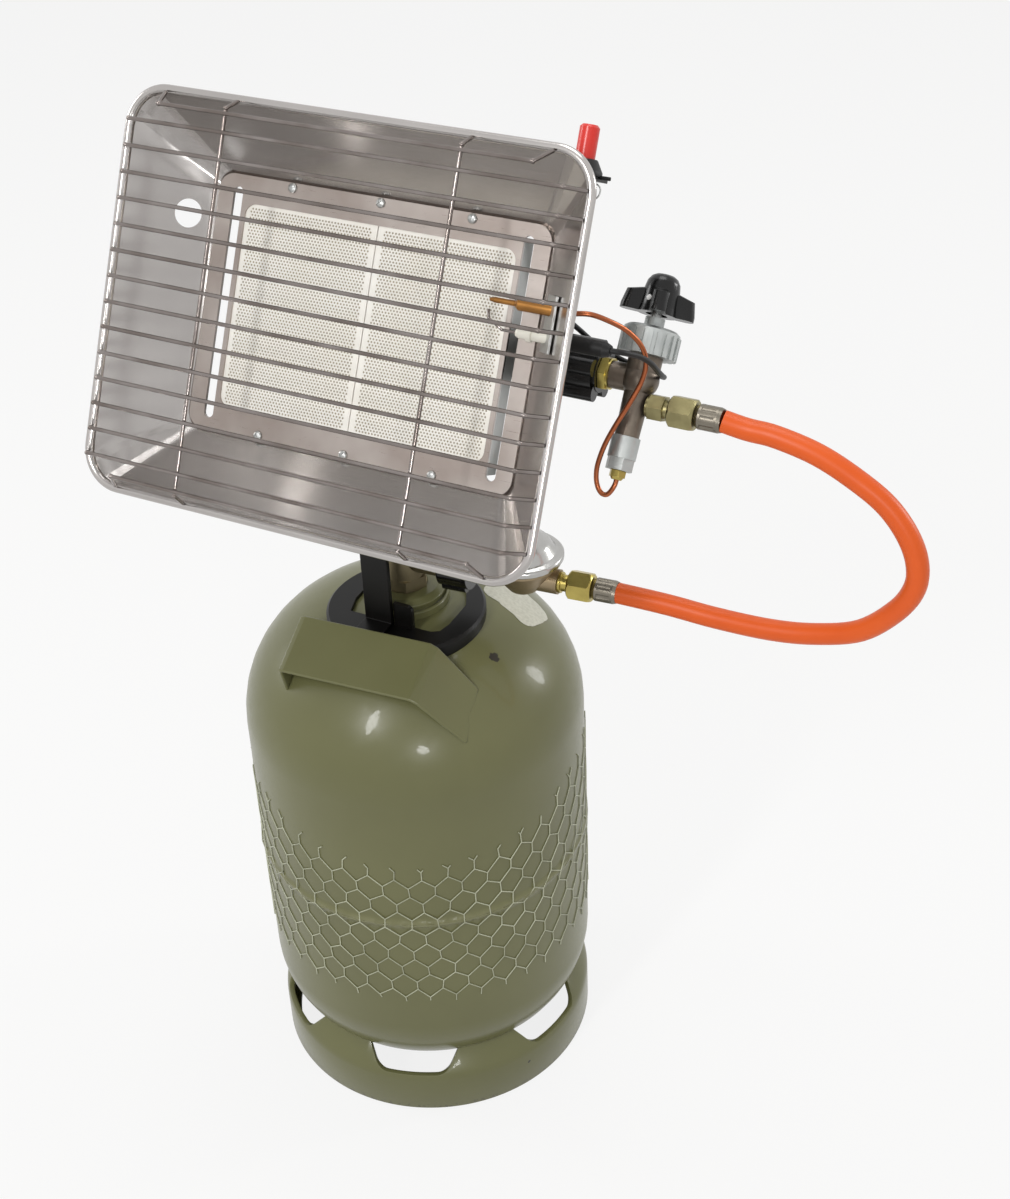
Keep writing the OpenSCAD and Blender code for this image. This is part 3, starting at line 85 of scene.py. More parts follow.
MM = 0.001
WHITE = (1.0, 1.0, 1.0, 1.0)
PIVOT: Point = (0.0, 0.018, 0.553)   # middle of the tilt joint, in metres
TILT_DEG = 26.5                      # how far the burner leans back from upright at rest
WELD_Z_MM = 184.75                   # height of the bottle's girth weld
NOISE_LOW, NOISE_HIGH = 0.35, 0.65   # where a soft noise starts and ends to blend two colours
COARSE, FINE = 3.0, 2.0              # detail of the noise in patches, and in fine marks


# ---- Finishes ----


def linear(hex_colour: str) -> tuple[float, float, float, float]:
    """Turn an sRGB hex colour into linear red, green, blue and alpha.

    Args:
        hex_colour: six hex digits after a hash sign.

    Returns:
        The four linear values, with alpha 1.
    """
    values = [int(hex_colour[i:i + 2], 16) / 255 for i in (1, 3, 5)]
    r, g, b = [v / 12.92 if v <= 0.04045 else ((v + 0.055) / 1.055) ** 2.4 for v in values]
    return r, g, b, 1.0


def fresh_tree(owner: bpy.types.Material | bpy.types.World) -> Tree:
    """Turn a material's or world's nodes on, and empty its tree.

    Args:
        owner: the material or world.

    Returns:
        Its node tree.
    """
    owner.use_nodes = True
    owner.node_tree.nodes.clear()
    return owner.node_tree


def add(tree: Tree, kind: str, inputs: dict[Any, Any] | None = None, **settings: Any) -> Outputs:
    """Add a node with its settings and links.

    Args:
        tree: the node tree that it goes into.
        kind: the node's type name.
        inputs: input name or number to a value, or to the output socket that feeds it.
        settings: the node's own properties.

    Returns:
        The new node's outputs, by name or number.
    """
    node = tree.nodes.new(kind)
    for name, value in settings.items():
        setattr(node, name, value)
    for name, value in (inputs or {}).items():
        if isinstance(value, Socket):
            tree.links.new(value, node.inputs[name])
        else:
            node.inputs[name].default_value = value
    return node.outputs


class Grain(Enum):
    """How a surface's fine marks run, as stretches of the pattern along X, Y and Z."""

    EVEN = (1.0, 1.0, 1.0)
    ALONG_X = (0.03, 1.0, 1.0)


@dataclass(frozen=True)
class Finish:
    """A finish: the material, how it was made, and what that gives the eye."""

    name: str
    colour: str
    second: str | None = None        # colour of the patches
    metallic: float = 0.0
    roughness: float = 0.5
    ior: float = 1.5
    specular: float = 0.5
    coat: float = 0.0
    coat_roughness: float = 0.06
    patch_mm: float = 40.0           # size of the colour patches
    patch_share: float = 0.5         # how far the patches go towards the second colour
    grain: Grain = Grain.EVEN
    grain_mm: float = 1.0            # width of the fine marks
    bump_mm: float = 0.0             # depth of the fine marks
    rough_spread: float = 0.06       # how much the fine marks vary the roughness

    def material(self) -> bpy.types.Material:
        """Build this finish's material when it is first asked for.

        Returns:
            The material.
        """
        made = bpy.data.materials.get(self.name)
        if made is not None:
            return made
        made = bpy.data.materials.new(self.name)
        tree = fresh_tree(made)
        plain = {"Metallic": self.metallic, "Coat Weight": self.coat, "Coat Roughness": self.coat_roughness}
        if self.metallic == 0.0:
            plain |= {"IOR": self.ior, "Specular IOR Level": self.specular}
        coords = add(tree, "ShaderNodeTexCoord")["Object"]
        shader = add(tree, "ShaderNodeBsdfPrincipled", plain | self.paint(tree, coords))
        add(tree, "ShaderNodeOutputMaterial", {"Surface": shader["BSDF"]})
        return made

    def patches(self, tree: Tree, coords: Socket) -> Socket:
        """Mix the two colours in soft patches.

        Args:
            tree: the material's node tree.
            coords: object coordinates.

        Returns:
            The colour.
        """
        noise = add(tree, "ShaderNodeTexNoise",
                    {"Vector": coords, "Scale": 1 / (self.patch_mm * MM), "Detail": COARSE})
        share = add(tree, "ShaderNodeMapRange", {
            "Value": noise["Fac"], "From Min": NOISE_LOW, "From Max": NOISE_HIGH, "To Max": self.patch_share})
        second = linear(self.second or self.colour)
        return add(tree, "ShaderNodeMix", {"Factor": share["Result"], "A": linear(self.colour), "B": second},
                   data_type="RGBA")["Result"]

    def paint(self, tree: Tree, coords: Socket) -> dict[str, Any]:
        """Make colour, roughness and bump, with fine marks along the grain.

        Args:
            tree: the material's node tree.
            coords: object coordinates.

        Returns:
            The shader's input names, each with what feeds it.
        """
        along = add(tree, "ShaderNodeMapping", {"Vector": coords, "Scale": self.grain.value})["Vector"]
        marks = add(tree, "ShaderNodeTexNoise",
                    {"Vector": along, "Scale": 1 / (self.grain_mm * MM), "Detail": FINE})["Fac"]
        rough = add(tree, "ShaderNodeMapRange", {
            "Value": marks, "To Min": max(0.02, self.roughness - self.rough_spread),
            "To Max": min(1.0, self.roughness + self.rough_spread)})["Result"]
        fed = {"Base Color": self.patches(tree, coords), "Roughness": rough}
        if self.bump_mm:
            fed["Normal"] = add(tree, "ShaderNodeBump", {
                "Height": marks, "Distance": self.bump_mm * MM, "Strength": 1.0})["Normal"]
        return fed


@dataclass(frozen=True)
class PerforatedCeramic(Finish):
    """Pressed cordierite plaque: fine through holes in a hexagonal grid, each painted darker as shade inside
    it, with a plain band at the edges.
    """

    pitch_mm: float = 2.1            # real holes are about 1.4 mm apart, and too fine to show
    hole_mm: float = 1.15
    hole_edge: tuple[float, float] = (0.38, 0.62)   # shares of a hole's width where its soft edge runs
    hole_depth_mm: float = 0.3
    # painted shade inside each hole
    hole_shade_colour: str = "#a79c88"
    centre_x_mm: float = 45.55       # middle of one plaque, on both sides of the burner's middle
    half_w_mm: float = 41.5
    half_h_mm: float = 59.0
    middle: float = 100.5            # whole steps that keep the grid's sums above zero, and half a step

    def paint(self, tree: Tree, coords: Socket) -> dict[str, Any]:
        """Make colour, with painted shade in each hole, and bump from the grid of holes.

        Args:
            tree: the material's node tree.
            coords: object coordinates.

        Returns:
            The shader's input names, each with what feeds it.
        """
        at_pivot = add(tree, "ShaderNodeVectorMath", {0: coords, 1: PIVOT}, operation="SUBTRACT")[0]
        turned = add(tree, "ShaderNodeVectorRotate", {
            "Vector": at_pivot, "Axis": (1.0, 0.0, 0.0), "Angle": -math.radians(90 - TILT_DEG)})
        split = add(tree, "ShaderNodeSeparateXYZ", {0: turned["Vector"]})
        side = add(tree, "ShaderNodeMath", {0: split["X"]}, operation="ABSOLUTE")[0]
        x = add(tree, "ShaderNodeMath", {0: side, 1: self.centre_x_mm * MM}, operation="SUBTRACT")[0]
        pitch = self.pitch_mm * MM
        axes = ((x, pitch, self.half_w_mm), (split["Y"], pitch * math.sqrt(3), self.half_h_mm))

        # Two square grids make the hexagonal one. Each gives the squared distance to its nearest hole.
        grids = []
        for shift in (0.0, 0.5):
            squares = []
            for value, step, _ in axes:
                for operation, by in (("DIVIDE", step), ("ADD", self.middle + shift), ("FRACT", 0.0),
                                      ("SUBTRACT", 0.5), ("MULTIPLY", step)):
                    value = add(tree, "ShaderNodeMath", {0: value, 1: by}, operation=operation)[0]
                squares.append(add(tree, "ShaderNodeMath", {0: value, 1: value}, operation="MULTIPLY")[0])
            grids.append(add(tree, "ShaderNodeMath", dict(enumerate(squares)), operation="ADD")[0])
        square = add(tree, "ShaderNodeMath", dict(enumerate(grids)), operation="MINIMUM")[0]
        nearest = add(tree, "ShaderNodeMath", {0: square}, operation="SQRT")[0]

        start, end = (share * self.hole_mm * MM for share in self.hole_edge)
        mask = add(tree, "ShaderNodeMapRange", {
            "Value": nearest, "From Min": start, "From Max": end, "To Min": 1.0, "To Max": 0.0})["Result"]
        for value, _, half_mm in axes:
            away = add(tree, "ShaderNodeMath", {0: value}, operation="ABSOLUTE")[0]
            inside = add(tree, "ShaderNodeMath", {0: away, 1: half_mm * MM}, operation="LESS_THAN")[0]
            mask = add(tree, "ShaderNodeMath", {0: mask, 1: inside}, operation="MULTIPLY")[0]
        # painted shade: each hole gets the darker hole colour
        colour = add(tree, "ShaderNodeMix", {
            "Factor": mask, "A": self.patches(tree, coords), "B": linear(self.hole_shade_colour)}, data_type="RGBA")
        bump = add(tree, "ShaderNodeBump", {
            "Height": mask, "Distance": self.hole_depth_mm * MM, "Strength": 1.0}, invert=True)
        return {"Base Color": colour["Result"], "Roughness": self.roughness, "Normal": bump["Normal"]}


@dataclass(frozen=True)
class ChippedEnamel(Finish):
    """Stoved enamel with knocked-off chips, scuffs at the floor, and a rippled weld under it with a painted
    highlight along the bead.
    """

    chips: tuple[tuple[Point, float], ...] = ()     # middle and radius of each, in metres
    chip_colour: str = "#33302a"
    chip_core: float = 0.8           # share of a chip's radius that is bare
    chip_ragged: float = 1.4         # how far a chip's edge wanders, as a share of its radius
    ragged_mm: float = 2.6           # size of the teeth along chips and scuffs
    scuff_colour: str = "#3c372c"
    scuff_mm: float = 4.0            # height that the scuffs reach
    scuff_edge: tuple[float, float] = (0.52, 0.6)   # noise values where the scuffs start and are full
    weld_half_mm: float = 6.0
    weld_ripple_mm: float = 1.3      # the bead's own ridge and ripples, over the shape of the shells
    weld_lump_mm: float = 9.0
    weld_least: float = 0.5          # height of the bead's low spots, as a share of its full height
    weld_highlight_colour: str = "#82815f"     # painted highlight: a lighter colour along the bead
    weld_highlight_share: float = 0.55

    def scuffs(self, tree: Tree, height: Socket, ragged: Socket) -> Socket:
        """Mark the scuffs along the floor.

        Args:
            tree: the material's node tree.
            height: height above the floor.
            ragged: noise for the edges.

        Returns:
            1 where the enamel is scuffed, and 0 where it isn't.
        """
        reach = add(tree, "ShaderNodeMath", {0: ragged, 1: self.scuff_mm * 2 * MM}, operation="MULTIPLY")[0]
        low = add(tree, "ShaderNodeMapRange", {
            "Value": height, "From Min": 0.0, "From Max": reach, "To Min": 1.0, "To Max": 0.0})["Result"]
        start, end = self.scuff_edge
        worn = add(tree, "ShaderNodeMapRange", {"Value": ragged, "From Min": start, "From Max": end})
        return add(tree, "ShaderNodeMath", {0: low, 1: worn["Result"]}, operation="MULTIPLY")[0]

    def chip(self, tree: Tree, coords: Socket, ragged: Socket, middle: Point, radius: float) -> Socket:
        """Mark one chip.

        Args:
            tree: the material's node tree.
            coords: object coordinates.
            ragged: noise for the edge.
            middle: the chip's middle, in metres.
            radius: its radius, in metres.

        Returns:
            1 on the chip, and 0 outside it.
        """
        wander = self.chip_ragged * radius
        away = add(tree, "ShaderNodeVectorMath", {0: coords, 1: middle}, operation="DISTANCE")["Value"]
        bent = add(tree, "ShaderNodeMath", {0: ragged, 1: wander, 2: -wander / 2}, operation="MULTIPLY_ADD")
        off = add(tree, "ShaderNodeMath", {0: away, 1: bent[0]}, operation="ADD")[0]
        return add(tree, "ShaderNodeMapRange", {
            "Value": off, "From Min": radius * self.chip_core, "From Max": radius, "To Min": 1.0,
            "To Max": 0.0})["Result"]

    def bead(self, tree: Tree, coords: Socket, height: Socket) -> Socket:
        """Raise the weld's lumpy bead.

        Args:
            tree: the material's node tree.
            coords: object coordinates.
            height: height above the floor.

        Returns:
            The bead's height, from 0 to 1.
        """
        above = add(tree, "ShaderNodeMath", {0: height, 1: WELD_Z_MM * MM}, operation="SUBTRACT")[0]
        away = add(tree, "ShaderNodeMath", {0: above}, operation="ABSOLUTE")[0]
        ridge = add(tree, "ShaderNodeMapRange", {
            "Value": away, "From Min": 0.0, "From Max": self.weld_half_mm * MM, "To Min": 1.0,
            "To Max": 0.0}, interpolation_type="SMOOTHSTEP")
        lumps = add(tree, "ShaderNodeTexNoise",
                    {"Vector": coords, "Scale": 1 / (self.weld_lump_mm * MM), "Detail": FINE})
        uneven = add(tree, "ShaderNodeMapRange", {
            "Value": lumps["Fac"], "From Min": NOISE_LOW, "From Max": NOISE_HIGH, "To Min": self.weld_least})
        return add(tree, "ShaderNodeMath", {0: ridge["Result"], 1: uneven["Result"]}, operation="MULTIPLY")[0]

    def paint(self, tree: Tree, coords: Socket) -> dict[str, Any]:
        """Make the enamel, and lay scuffs, chips, the weld's bead and a painted highlight along the bead over
        it.

        Args:
            tree: the material's node tree.
            coords: object coordinates.

        Returns:
            The shader's input names, each with what feeds it.
        """
        fed = super().paint(tree, coords)
        ragged = add(tree, "ShaderNodeTexNoise",
                     {"Vector": coords, "Scale": 1 / (self.ragged_mm * MM), "Detail": COARSE})["Fac"]
        height = add(tree, "ShaderNodeSeparateXYZ", {0: coords})["Z"]
        bead = self.bead(tree, coords, height)
        # painted highlight: the bead's height mixes a lighter colour in along the weld
        painted_weld_highlight = add(tree, "ShaderNodeMath", {0: bead, 1: self.weld_highlight_share}, operation="MULTIPLY")[0]
        masks = [(self.scuffs(tree, height, ragged), self.scuff_colour)]
        masks += [(self.chip(tree, coords, ragged, *chip), self.chip_colour) for chip in self.chips]
        for mask, tint in masks + [(painted_weld_highlight, self.weld_highlight_colour)]:
            fed["Base Color"] = add(tree, "ShaderNodeMix", {
                "Factor": mask, "A": fed["Base Color"], "B": linear(tint)}, data_type="RGBA")["Result"]
        fed["Normal"] = add(tree, "ShaderNodeBump", {
            "Height": bead, "Distance": self.weld_ripple_mm * MM, "Strength": 1.0,
            "Normal": fed["Normal"]})["Normal"]
        return fed


# Gas bottle enamel: sprayed and stoved olive-grey, glossy with a faint orange peel.
OLIVE_ENAMEL = ChippedEnamel(
    "olive_stoved_enamel", "#686845", "#5e5e3d", roughness=0.32, specular=0.3, coat=0.16, patch_mm=90,
    grain_mm=2.2, bump_mm=0.006,
    chips=(((0.0728, -0.0194, 0.3545), 0.0036), ((0.0602, -0.0955, 0.262), 0.0009),
           ((-0.021, -0.1125, 0.06), 0.0011), ((0.101, -0.0505, 0.021), 0.0014)))
# Extruded polyethylene net: milky, slightly green over the enamel.
NET_CORD = Finish(
    "extruded_net_cord", "#b4b69e", "#989a82", roughness=0.4, patch_mm=25, patch_share=0.9, grain_mm=0.6)
# Stainless sheet, bright-annealed and pressed: a cloudy mirror with fine rolling lines.
REFLECTOR_SHEET = Finish(
    "bright_annealed_stainless", "#b8b4b1", "#a6a29f", metallic=1.0, roughness=0.2, patch_mm=60,
    grain=Grain.ALONG_X, grain_mm=0.7, bump_mm=0.0015, rough_spread=0.05)
# Stainless burner frame, brushed and browned by heat.
FRAME_SHEET = Finish(
    "heat_tinted_stainless", "#b2a9a3", "#978b84", metallic=1.0, roughness=0.3, patch_mm=45, patch_share=0.8,
    grain=Grain.ALONG_X, grain_mm=0.5, bump_mm=0.004)
# Steel wire of the guard: bright-drawn, with a tight shine along each wire.
GUARD_WIRE = Finish(
    "bright_drawn_wire", "#8f8885", "#716863", metallic=1.0, roughness=0.15, patch_mm=30, patch_share=0.9)
# Zinc-plated pressings and bolts: pale grey with a soft sheen.
ZINC_PLATE = Finish(
    "zinc_plated_steel", "#b9bab8", "#a5a6a4", metallic=1.0, roughness=0.38, patch_mm=18, grain_mm=0.8,
    bump_mm=0.004)
# Ferrules: zinc-plated steel, crimped and a little darkened.
FERRULE_STEEL = Finish("crimped_plated_steel", "#827c71", "#6b655a", metallic=1.0, roughness=0.36, patch_mm=8)
# Tap bonnet: zinc die-casting, tumbled, chalky where it was handled.
DIE_CAST_ZINC = Finish(
    "tumbled_zinc_casting", "#b4b7b5", "#9b9f9e", metallic=0.85, roughness=0.45, patch_mm=9, grain_mm=0.5,
    bump_mm=0.02)
# Turned brass fittings: yellow, slightly tarnished.
TURNED_BRASS = Finish(
    "turned_brass", "#b7a75f", "#96854a", metallic=1.0, roughness=0.3, patch_mm=9, grain_mm=0.4,
    bump_mm=0.004)
# The upper hose fittings: brass dulled by heat and handling.
DULL_BRASS = Finish(
    "dulled_brass", "#989069", "#756d4c", metallic=1.0, roughness=0.36, patch_mm=7, grain_mm=0.4,
    bump_mm=0.006)
# Hot-pressed brass valve body, dull and a little greenish.
PRESSED_BRASS = Finish(
    "hot_pressed_brass", "#8f8468", "#7a7058", metallic=0.9, roughness=0.45, patch_mm=12, grain_mm=0.5,
    bump_mm=0.02)
# Tap body: hot-pressed brass, darkened by heat and flux.
DARK_BRASS = Finish(
    "darkened_brass", "#756b60", "#4f4740", metallic=0.85, roughness=0.4, patch_mm=8, grain_mm=0.5,
    bump_mm=0.02)
# Regulator body: zinc casting, passivated to a bronze colour.
BRONZE_CASTING = Finish(
    "passivated_casting", "#9a8a70", "#857458", metallic=0.85, roughness=0.42, patch_mm=14, grain_mm=0.6,
    bump_mm=0.015)
# Regulator dome: pressed aluminium, satin.
SATIN_ALUMINIUM = Finish(
    "satin_pressed_aluminium", "#b4b3b0", "#a09f9c", metallic=1.0, roughness=0.24, patch_mm=20, grain_mm=0.5,
    bump_mm=0.005)
# Gas hose: extruded rubber, smooth with a slight sheen.
HOSE_RUBBER = Finish(
    "extruded_orange_rubber", "#da5a18", "#d05112", roughness=0.42, specular=0.35, coat=0.05,
    coat_roughness=0.3, patch_mm=30, grain_mm=0.7, bump_mm=0.008)
# Moulded phenolic knobs: deep black and glossy.
BLACK_PHENOLIC = Finish(
    "moulded_black_phenolic", "#090909", "#100f0e", roughness=0.26, specular=0.3, coat=0.12, patch_mm=15,
    grain_mm=0.5, bump_mm=0.004)
# Black enamel on pressed steel: semi-gloss, with a faint orange peel.
BLACK_ENAMEL = Finish(
    "black_stoved_enamel", "#080706", "#0e0d0b", roughness=0.36, specular=0.22, patch_mm=20, grain_mm=1.0,
    bump_mm=0.008)
# Silicone of the ignition lead, boot and igniter: matt black.
BLACK_SILICONE = Finish(
    "black_silicone", "#0d0d0d", "#171615", roughness=0.5, specular=0.3, patch_mm=10, grain_mm=0.4)
# Red button: moulded ABS, evenly glossy.
RED_ABS = Finish("moulded_red_abs", "#cf2a1e", "#c3241a", roughness=0.28, patch_mm=12, grain_mm=0.3)
# Thermocouple sleeve: nickel alloy with brass braze, stained gold and brown by the flame.
PROBE_SLEEVE = Finish("heat_stained_sleeve", "#a8773f", "#7d542c", metallic=0.9, roughness=0.35, patch_mm=9)
# Drawn copper capillary: dulled to brown-red, with a soft shine.
COPPER_TUBE = Finish("drawn_copper", "#a5603f", "#8c4f35", metallic=1.0, roughness=0.3, patch_mm=12)
# Glazed alumina of the electrode: cream white and shiny.
GLAZED_ALUMINA = Finish("glazed_alumina", "#e4e1d6", "#d8d4c6", roughness=0.2, patch_mm=8)
# Compressed fibre of gasket and washers: dark, matt and rough.
FIBRE = Finish(
    "compressed_fibre", "#4d4842", "#5c564e", roughness=0.85, patch_mm=4, grain_mm=0.4, bump_mm=0.05)
# Paper label: blank and a little yellowed.
LABEL_PAPER = Finish(
    "blank_label", "#c6c5b6", "#b3b2a2", roughness=0.42, patch_mm=2.2, patch_share=0.8, grain_mm=0.3)
# White dot, pad-printed on the knob's wing: flat and even.
WHITE_DOT = Finish("white_pad_print", "#e8e8e6", roughness=0.5)
# Perforated ceramic of the burner: chalky cream, with painted shade as a grey haze in its holes.
PLAQUE = PerforatedCeramic("perforated_cordierite", "#f8f5ee", "#f0ebdf", roughness=0.8, patch_mm=35)


# ---- Small modelling tools ----


@dataclass(frozen=True)
class HeadFrame:
    """The burner head's own axes: X right, Y up its face, Z out of it, from the reflector floor's middle."""

    depth_mm: float = 48.0           # the floor's distance from the tilt joint

    def matrix(self) -> Matrix:
        """Return the matrix from the head's axes, in metres, to the row frame."""
        turn = Matrix.Rotation(math.radians(90 - TILT_DEG), 4, "X")
        return Matrix.Translation(PIVOT) @ turn @ Matrix.Translation((0, 0, self.depth_mm * MM))

    def at(self, x: float, y: float, z: float) -> Vector:
        """Return a point given in the head's millimetres, in the row frame."""
        return self.matrix() @ Vector((x * MM, y * MM, z * MM))

    def route(self, points: Sequence[Point], steps: int) -> list[Vector]:
        """Return the smooth line through points given in the head's millimetres, in the row frame."""
        return smooth_route([self.at(*p) for p in points], steps)


HEAD = HeadFrame()


def smooth_route(points: Sequence[Sequence[float]], steps: int) -> list[Vector]:
    """Draw a Catmull-Rom curve through the points.

    Args:
        points: the route's points.
        steps: how many lengths each span is cut into.

    Returns:
        The points of the curve.
    """
    p = [Vector(q) for q in points]
    last = len(p) - 1
    out = []
    for i in range(last):
        a, b, c, d = p[max(0, i - 1)], p[i], p[i + 1], p[min(last, i + 2)]
        for s in range(steps):
            t = s / steps
            out.append(0.5 * (2 * b + (c - a) * t + (2 * a - 5 * b + 4 * c - d) * t ** 2
                              + (3 * b - a - 3 * c + d) * t ** 3))
    return out + [p[last]]


def length_of(path: Sequence[Vector]) -> float:
    """Add up the lengths between the points of a path."""
    return sum((b - a).length for a, b in zip(path, path[1:]))


def select_only(obj: Piece | None = None) -> None:
    """Deselect everything, then select and activate one object.

    Args:
        obj: the object. Left out, nothing stays selected.
    """
    if bpy.context.mode != "OBJECT":
        bpy.ops.object.mode_set(mode="OBJECT")
    bpy.ops.object.select_all(action="DESELECT")
    if obj is not None:
        obj.select_set(True)
        bpy.context.view_layer.objects.active = obj


def place_in_mesh(obj: Piece) -> None:
    """Put an object's place, turn and size into its mesh."""
    select_only(obj)
    bpy.ops.object.transform_apply(location=True, rotation=True, scale=True)


def open_new(name: str) -> Piece:
    """Name the primitive that was just added, and select its whole mesh in edit mode.

    Args:
        name: the piece's name.

    Returns:
        The piece.
    """
    obj = bpy.context.active_object
    obj.name = name
    place_in_mesh(obj)
    bpy.ops.object.mode_set(mode="EDIT")
    bpy.ops.mesh.select_all(action="SELECT")
    return obj


def settle_faces() -> None:
    """Merge doubles, turn all faces outwards, and leave edit mode."""
    bpy.ops.mesh.select_all(action="SELECT")
    bpy.ops.mesh.remove_doubles(threshold=0.000002)
    bpy.ops.mesh.normals_make_consistent(inside=False)
    bpy.ops.object.mode_set(mode="OBJECT")


def apply_modifier(obj: Piece, kind: str, **settings: Any) -> None:
    """Add a modifier and apply it.

    Args:
        obj: the piece.
        kind: the modifier's type.
        settings: the modifier's own properties.
    """
    select_only(obj)
    made = obj.modifiers.new(kind.lower(), kind)
    for name, value in settings.items():
        setattr(made, name, value)
    bpy.ops.object.modifier_apply(modifier=made.name)


def cut(obj: Piece, cutter: Piece) -> None:
    """Cut one form out of another, and delete the cutter."""
    apply_modifier(obj, "BOOLEAN", object=cutter, operation="DIFFERENCE", solver="EXACT")
    bpy.data.objects.remove(cutter)


def copy_of(obj: Piece, name: str) -> Piece:
    """Copy a piece with its own mesh.

    Args:
        obj: the piece.
        name: the copy's name.

    Returns:
        The copy.
    """
    made = obj.copy()
    made.data = obj.data.copy()
    made.name = name
    bpy.context.scene.collection.objects.link(made)
    return made


def facing(place: Vector, normal: Vector, along: Vector | None = None) -> Matrix:
    """Return the matrix of a piece that lies at a place.

    Args:
        place: its middle, in metres.
        normal: where its Z points.
        along: what its X comes close to. Left out, X is level.

    Returns:
        The matrix.
    """
    z = normal.normalized()
    x = along if along is not None else Vector((0.0, 0.0, 1.0)).cross(z)
    x = (x - z * x.dot(z)).normalized()
    return Matrix.Translation(place) @ Matrix((x, z.cross(x), z)).transposed().to_4x4()


def lathe(name: str, profile: Outline, segments: int, capped: bool) -> Piece:
    """Draw a ring out through a profile about Z.

    Args:
        name: the piece's name.
        profile: radius and height of each ring, in millimetres. A last ring on the first closes the form.
        segments: vertices round each ring.
        capped: whether flat discs close both ends.

    Returns:
        The form, as a mesh.
    """
    select_only()
    radius, height = profile[0]
    bpy.ops.mesh.primitive_circle_add(vertices=segments, radius=radius * MM, location=(0.0, 0.0, height * MM),
                                      fill_type="NGON" if capped else "NOTHING")
    obj = open_new(name)
    extrude = bpy.ops.mesh.extrude_region_move if capped else bpy.ops.mesh.extrude_edges_move
    for (r0, z0), (r1, z1) in zip(profile, profile[1:]):
        extrude(TRANSFORM_OT_translate={"value": (0.0, 0.0, (z1 - z0) * MM)})
        bpy.ops.transform.resize(value=(r1 / r0, r1 / r0, 1.0), center_override=(0.0, 0.0, 0.0))
    settle_faces()
    return obj


def box_form(name: str, size: Point, place: Point, rounding: float, segments: int = 2) -> Piece:
    """Make a block with rounded edges.

    Args:
        name: the piece's name.
        size: its size, in millimetres.
        place: its middle, in millimetres.
        rounding: the radius of its edges, in millimetres.
        segments: steps of each rounded edge.

    Returns:
        The block.
    """
    select_only()
    bpy.ops.mesh.primitive_cube_add(size=MM, location=tuple(v * MM for v in place), scale=size)
    obj = open_new(name)
    bpy.ops.mesh.bevel(offset=rounding * MM, segments=segments, affect="EDGES")
    settle_faces()
    return obj


def tubes(name: str, lines: Iterable[Sequence[Vector]], radius: float, resolution: int) -> Piece:
    """Sweep a round tube along each line of points, closed at both ends.

    Args:
        name: the piece's name.
        lines: the centre lines, in metres.
        radius: the tubes' radius, in metres.
        resolution: the curve's bevel resolution.

    Returns:
        The tubes, as one mesh.
    """
    curve = bpy.data.curves.new(name, "CURVE")
    curve.dimensions = "3D"
    curve.bevel_depth = radius
    curve.bevel_resolution = resolution
    curve.use_fill_caps = True
    for line in lines:
        spline = curve.splines.new("POLY")
        spline.points.add(len(line) - 1)
        for target, point in zip(spline.points, line):
            target.co = (*point, 1.0)
    obj = bpy.data.objects.new(name, curve)
    bpy.context.scene.collection.objects.link(obj)
    select_only(obj)
    bpy.ops.object.convert(target="MESH")
    return obj


def coat(obj: Piece, finish: Finish, slot: str, angle: float) -> None:
    """Put a finished piece's place into its mesh, shade it, and give it a finish.

    Args:
        obj: the piece.
        finish: its finish.
        slot: the record's material slot; not used.
        angle: faces that meet at less than this angle, in degrees, are shaded smooth.
    """
    place_in_mesh(obj)
    bpy.ops.object.shade_smooth_by_angle(angle=math.radians(angle))
    obj.data.materials.clear()
    obj.data.materials.append(finish.material())
    log.info("built %s", obj.name)


def finish_piece(obj: Piece, finish: Finish, body: str, slot: str, angle: float) -> None:
    """Coat a finished piece, and let it ride on a CAD body."""
    coat(obj, finish, slot, angle)
    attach(obj, body)


# ---- Sub-assemblies ----


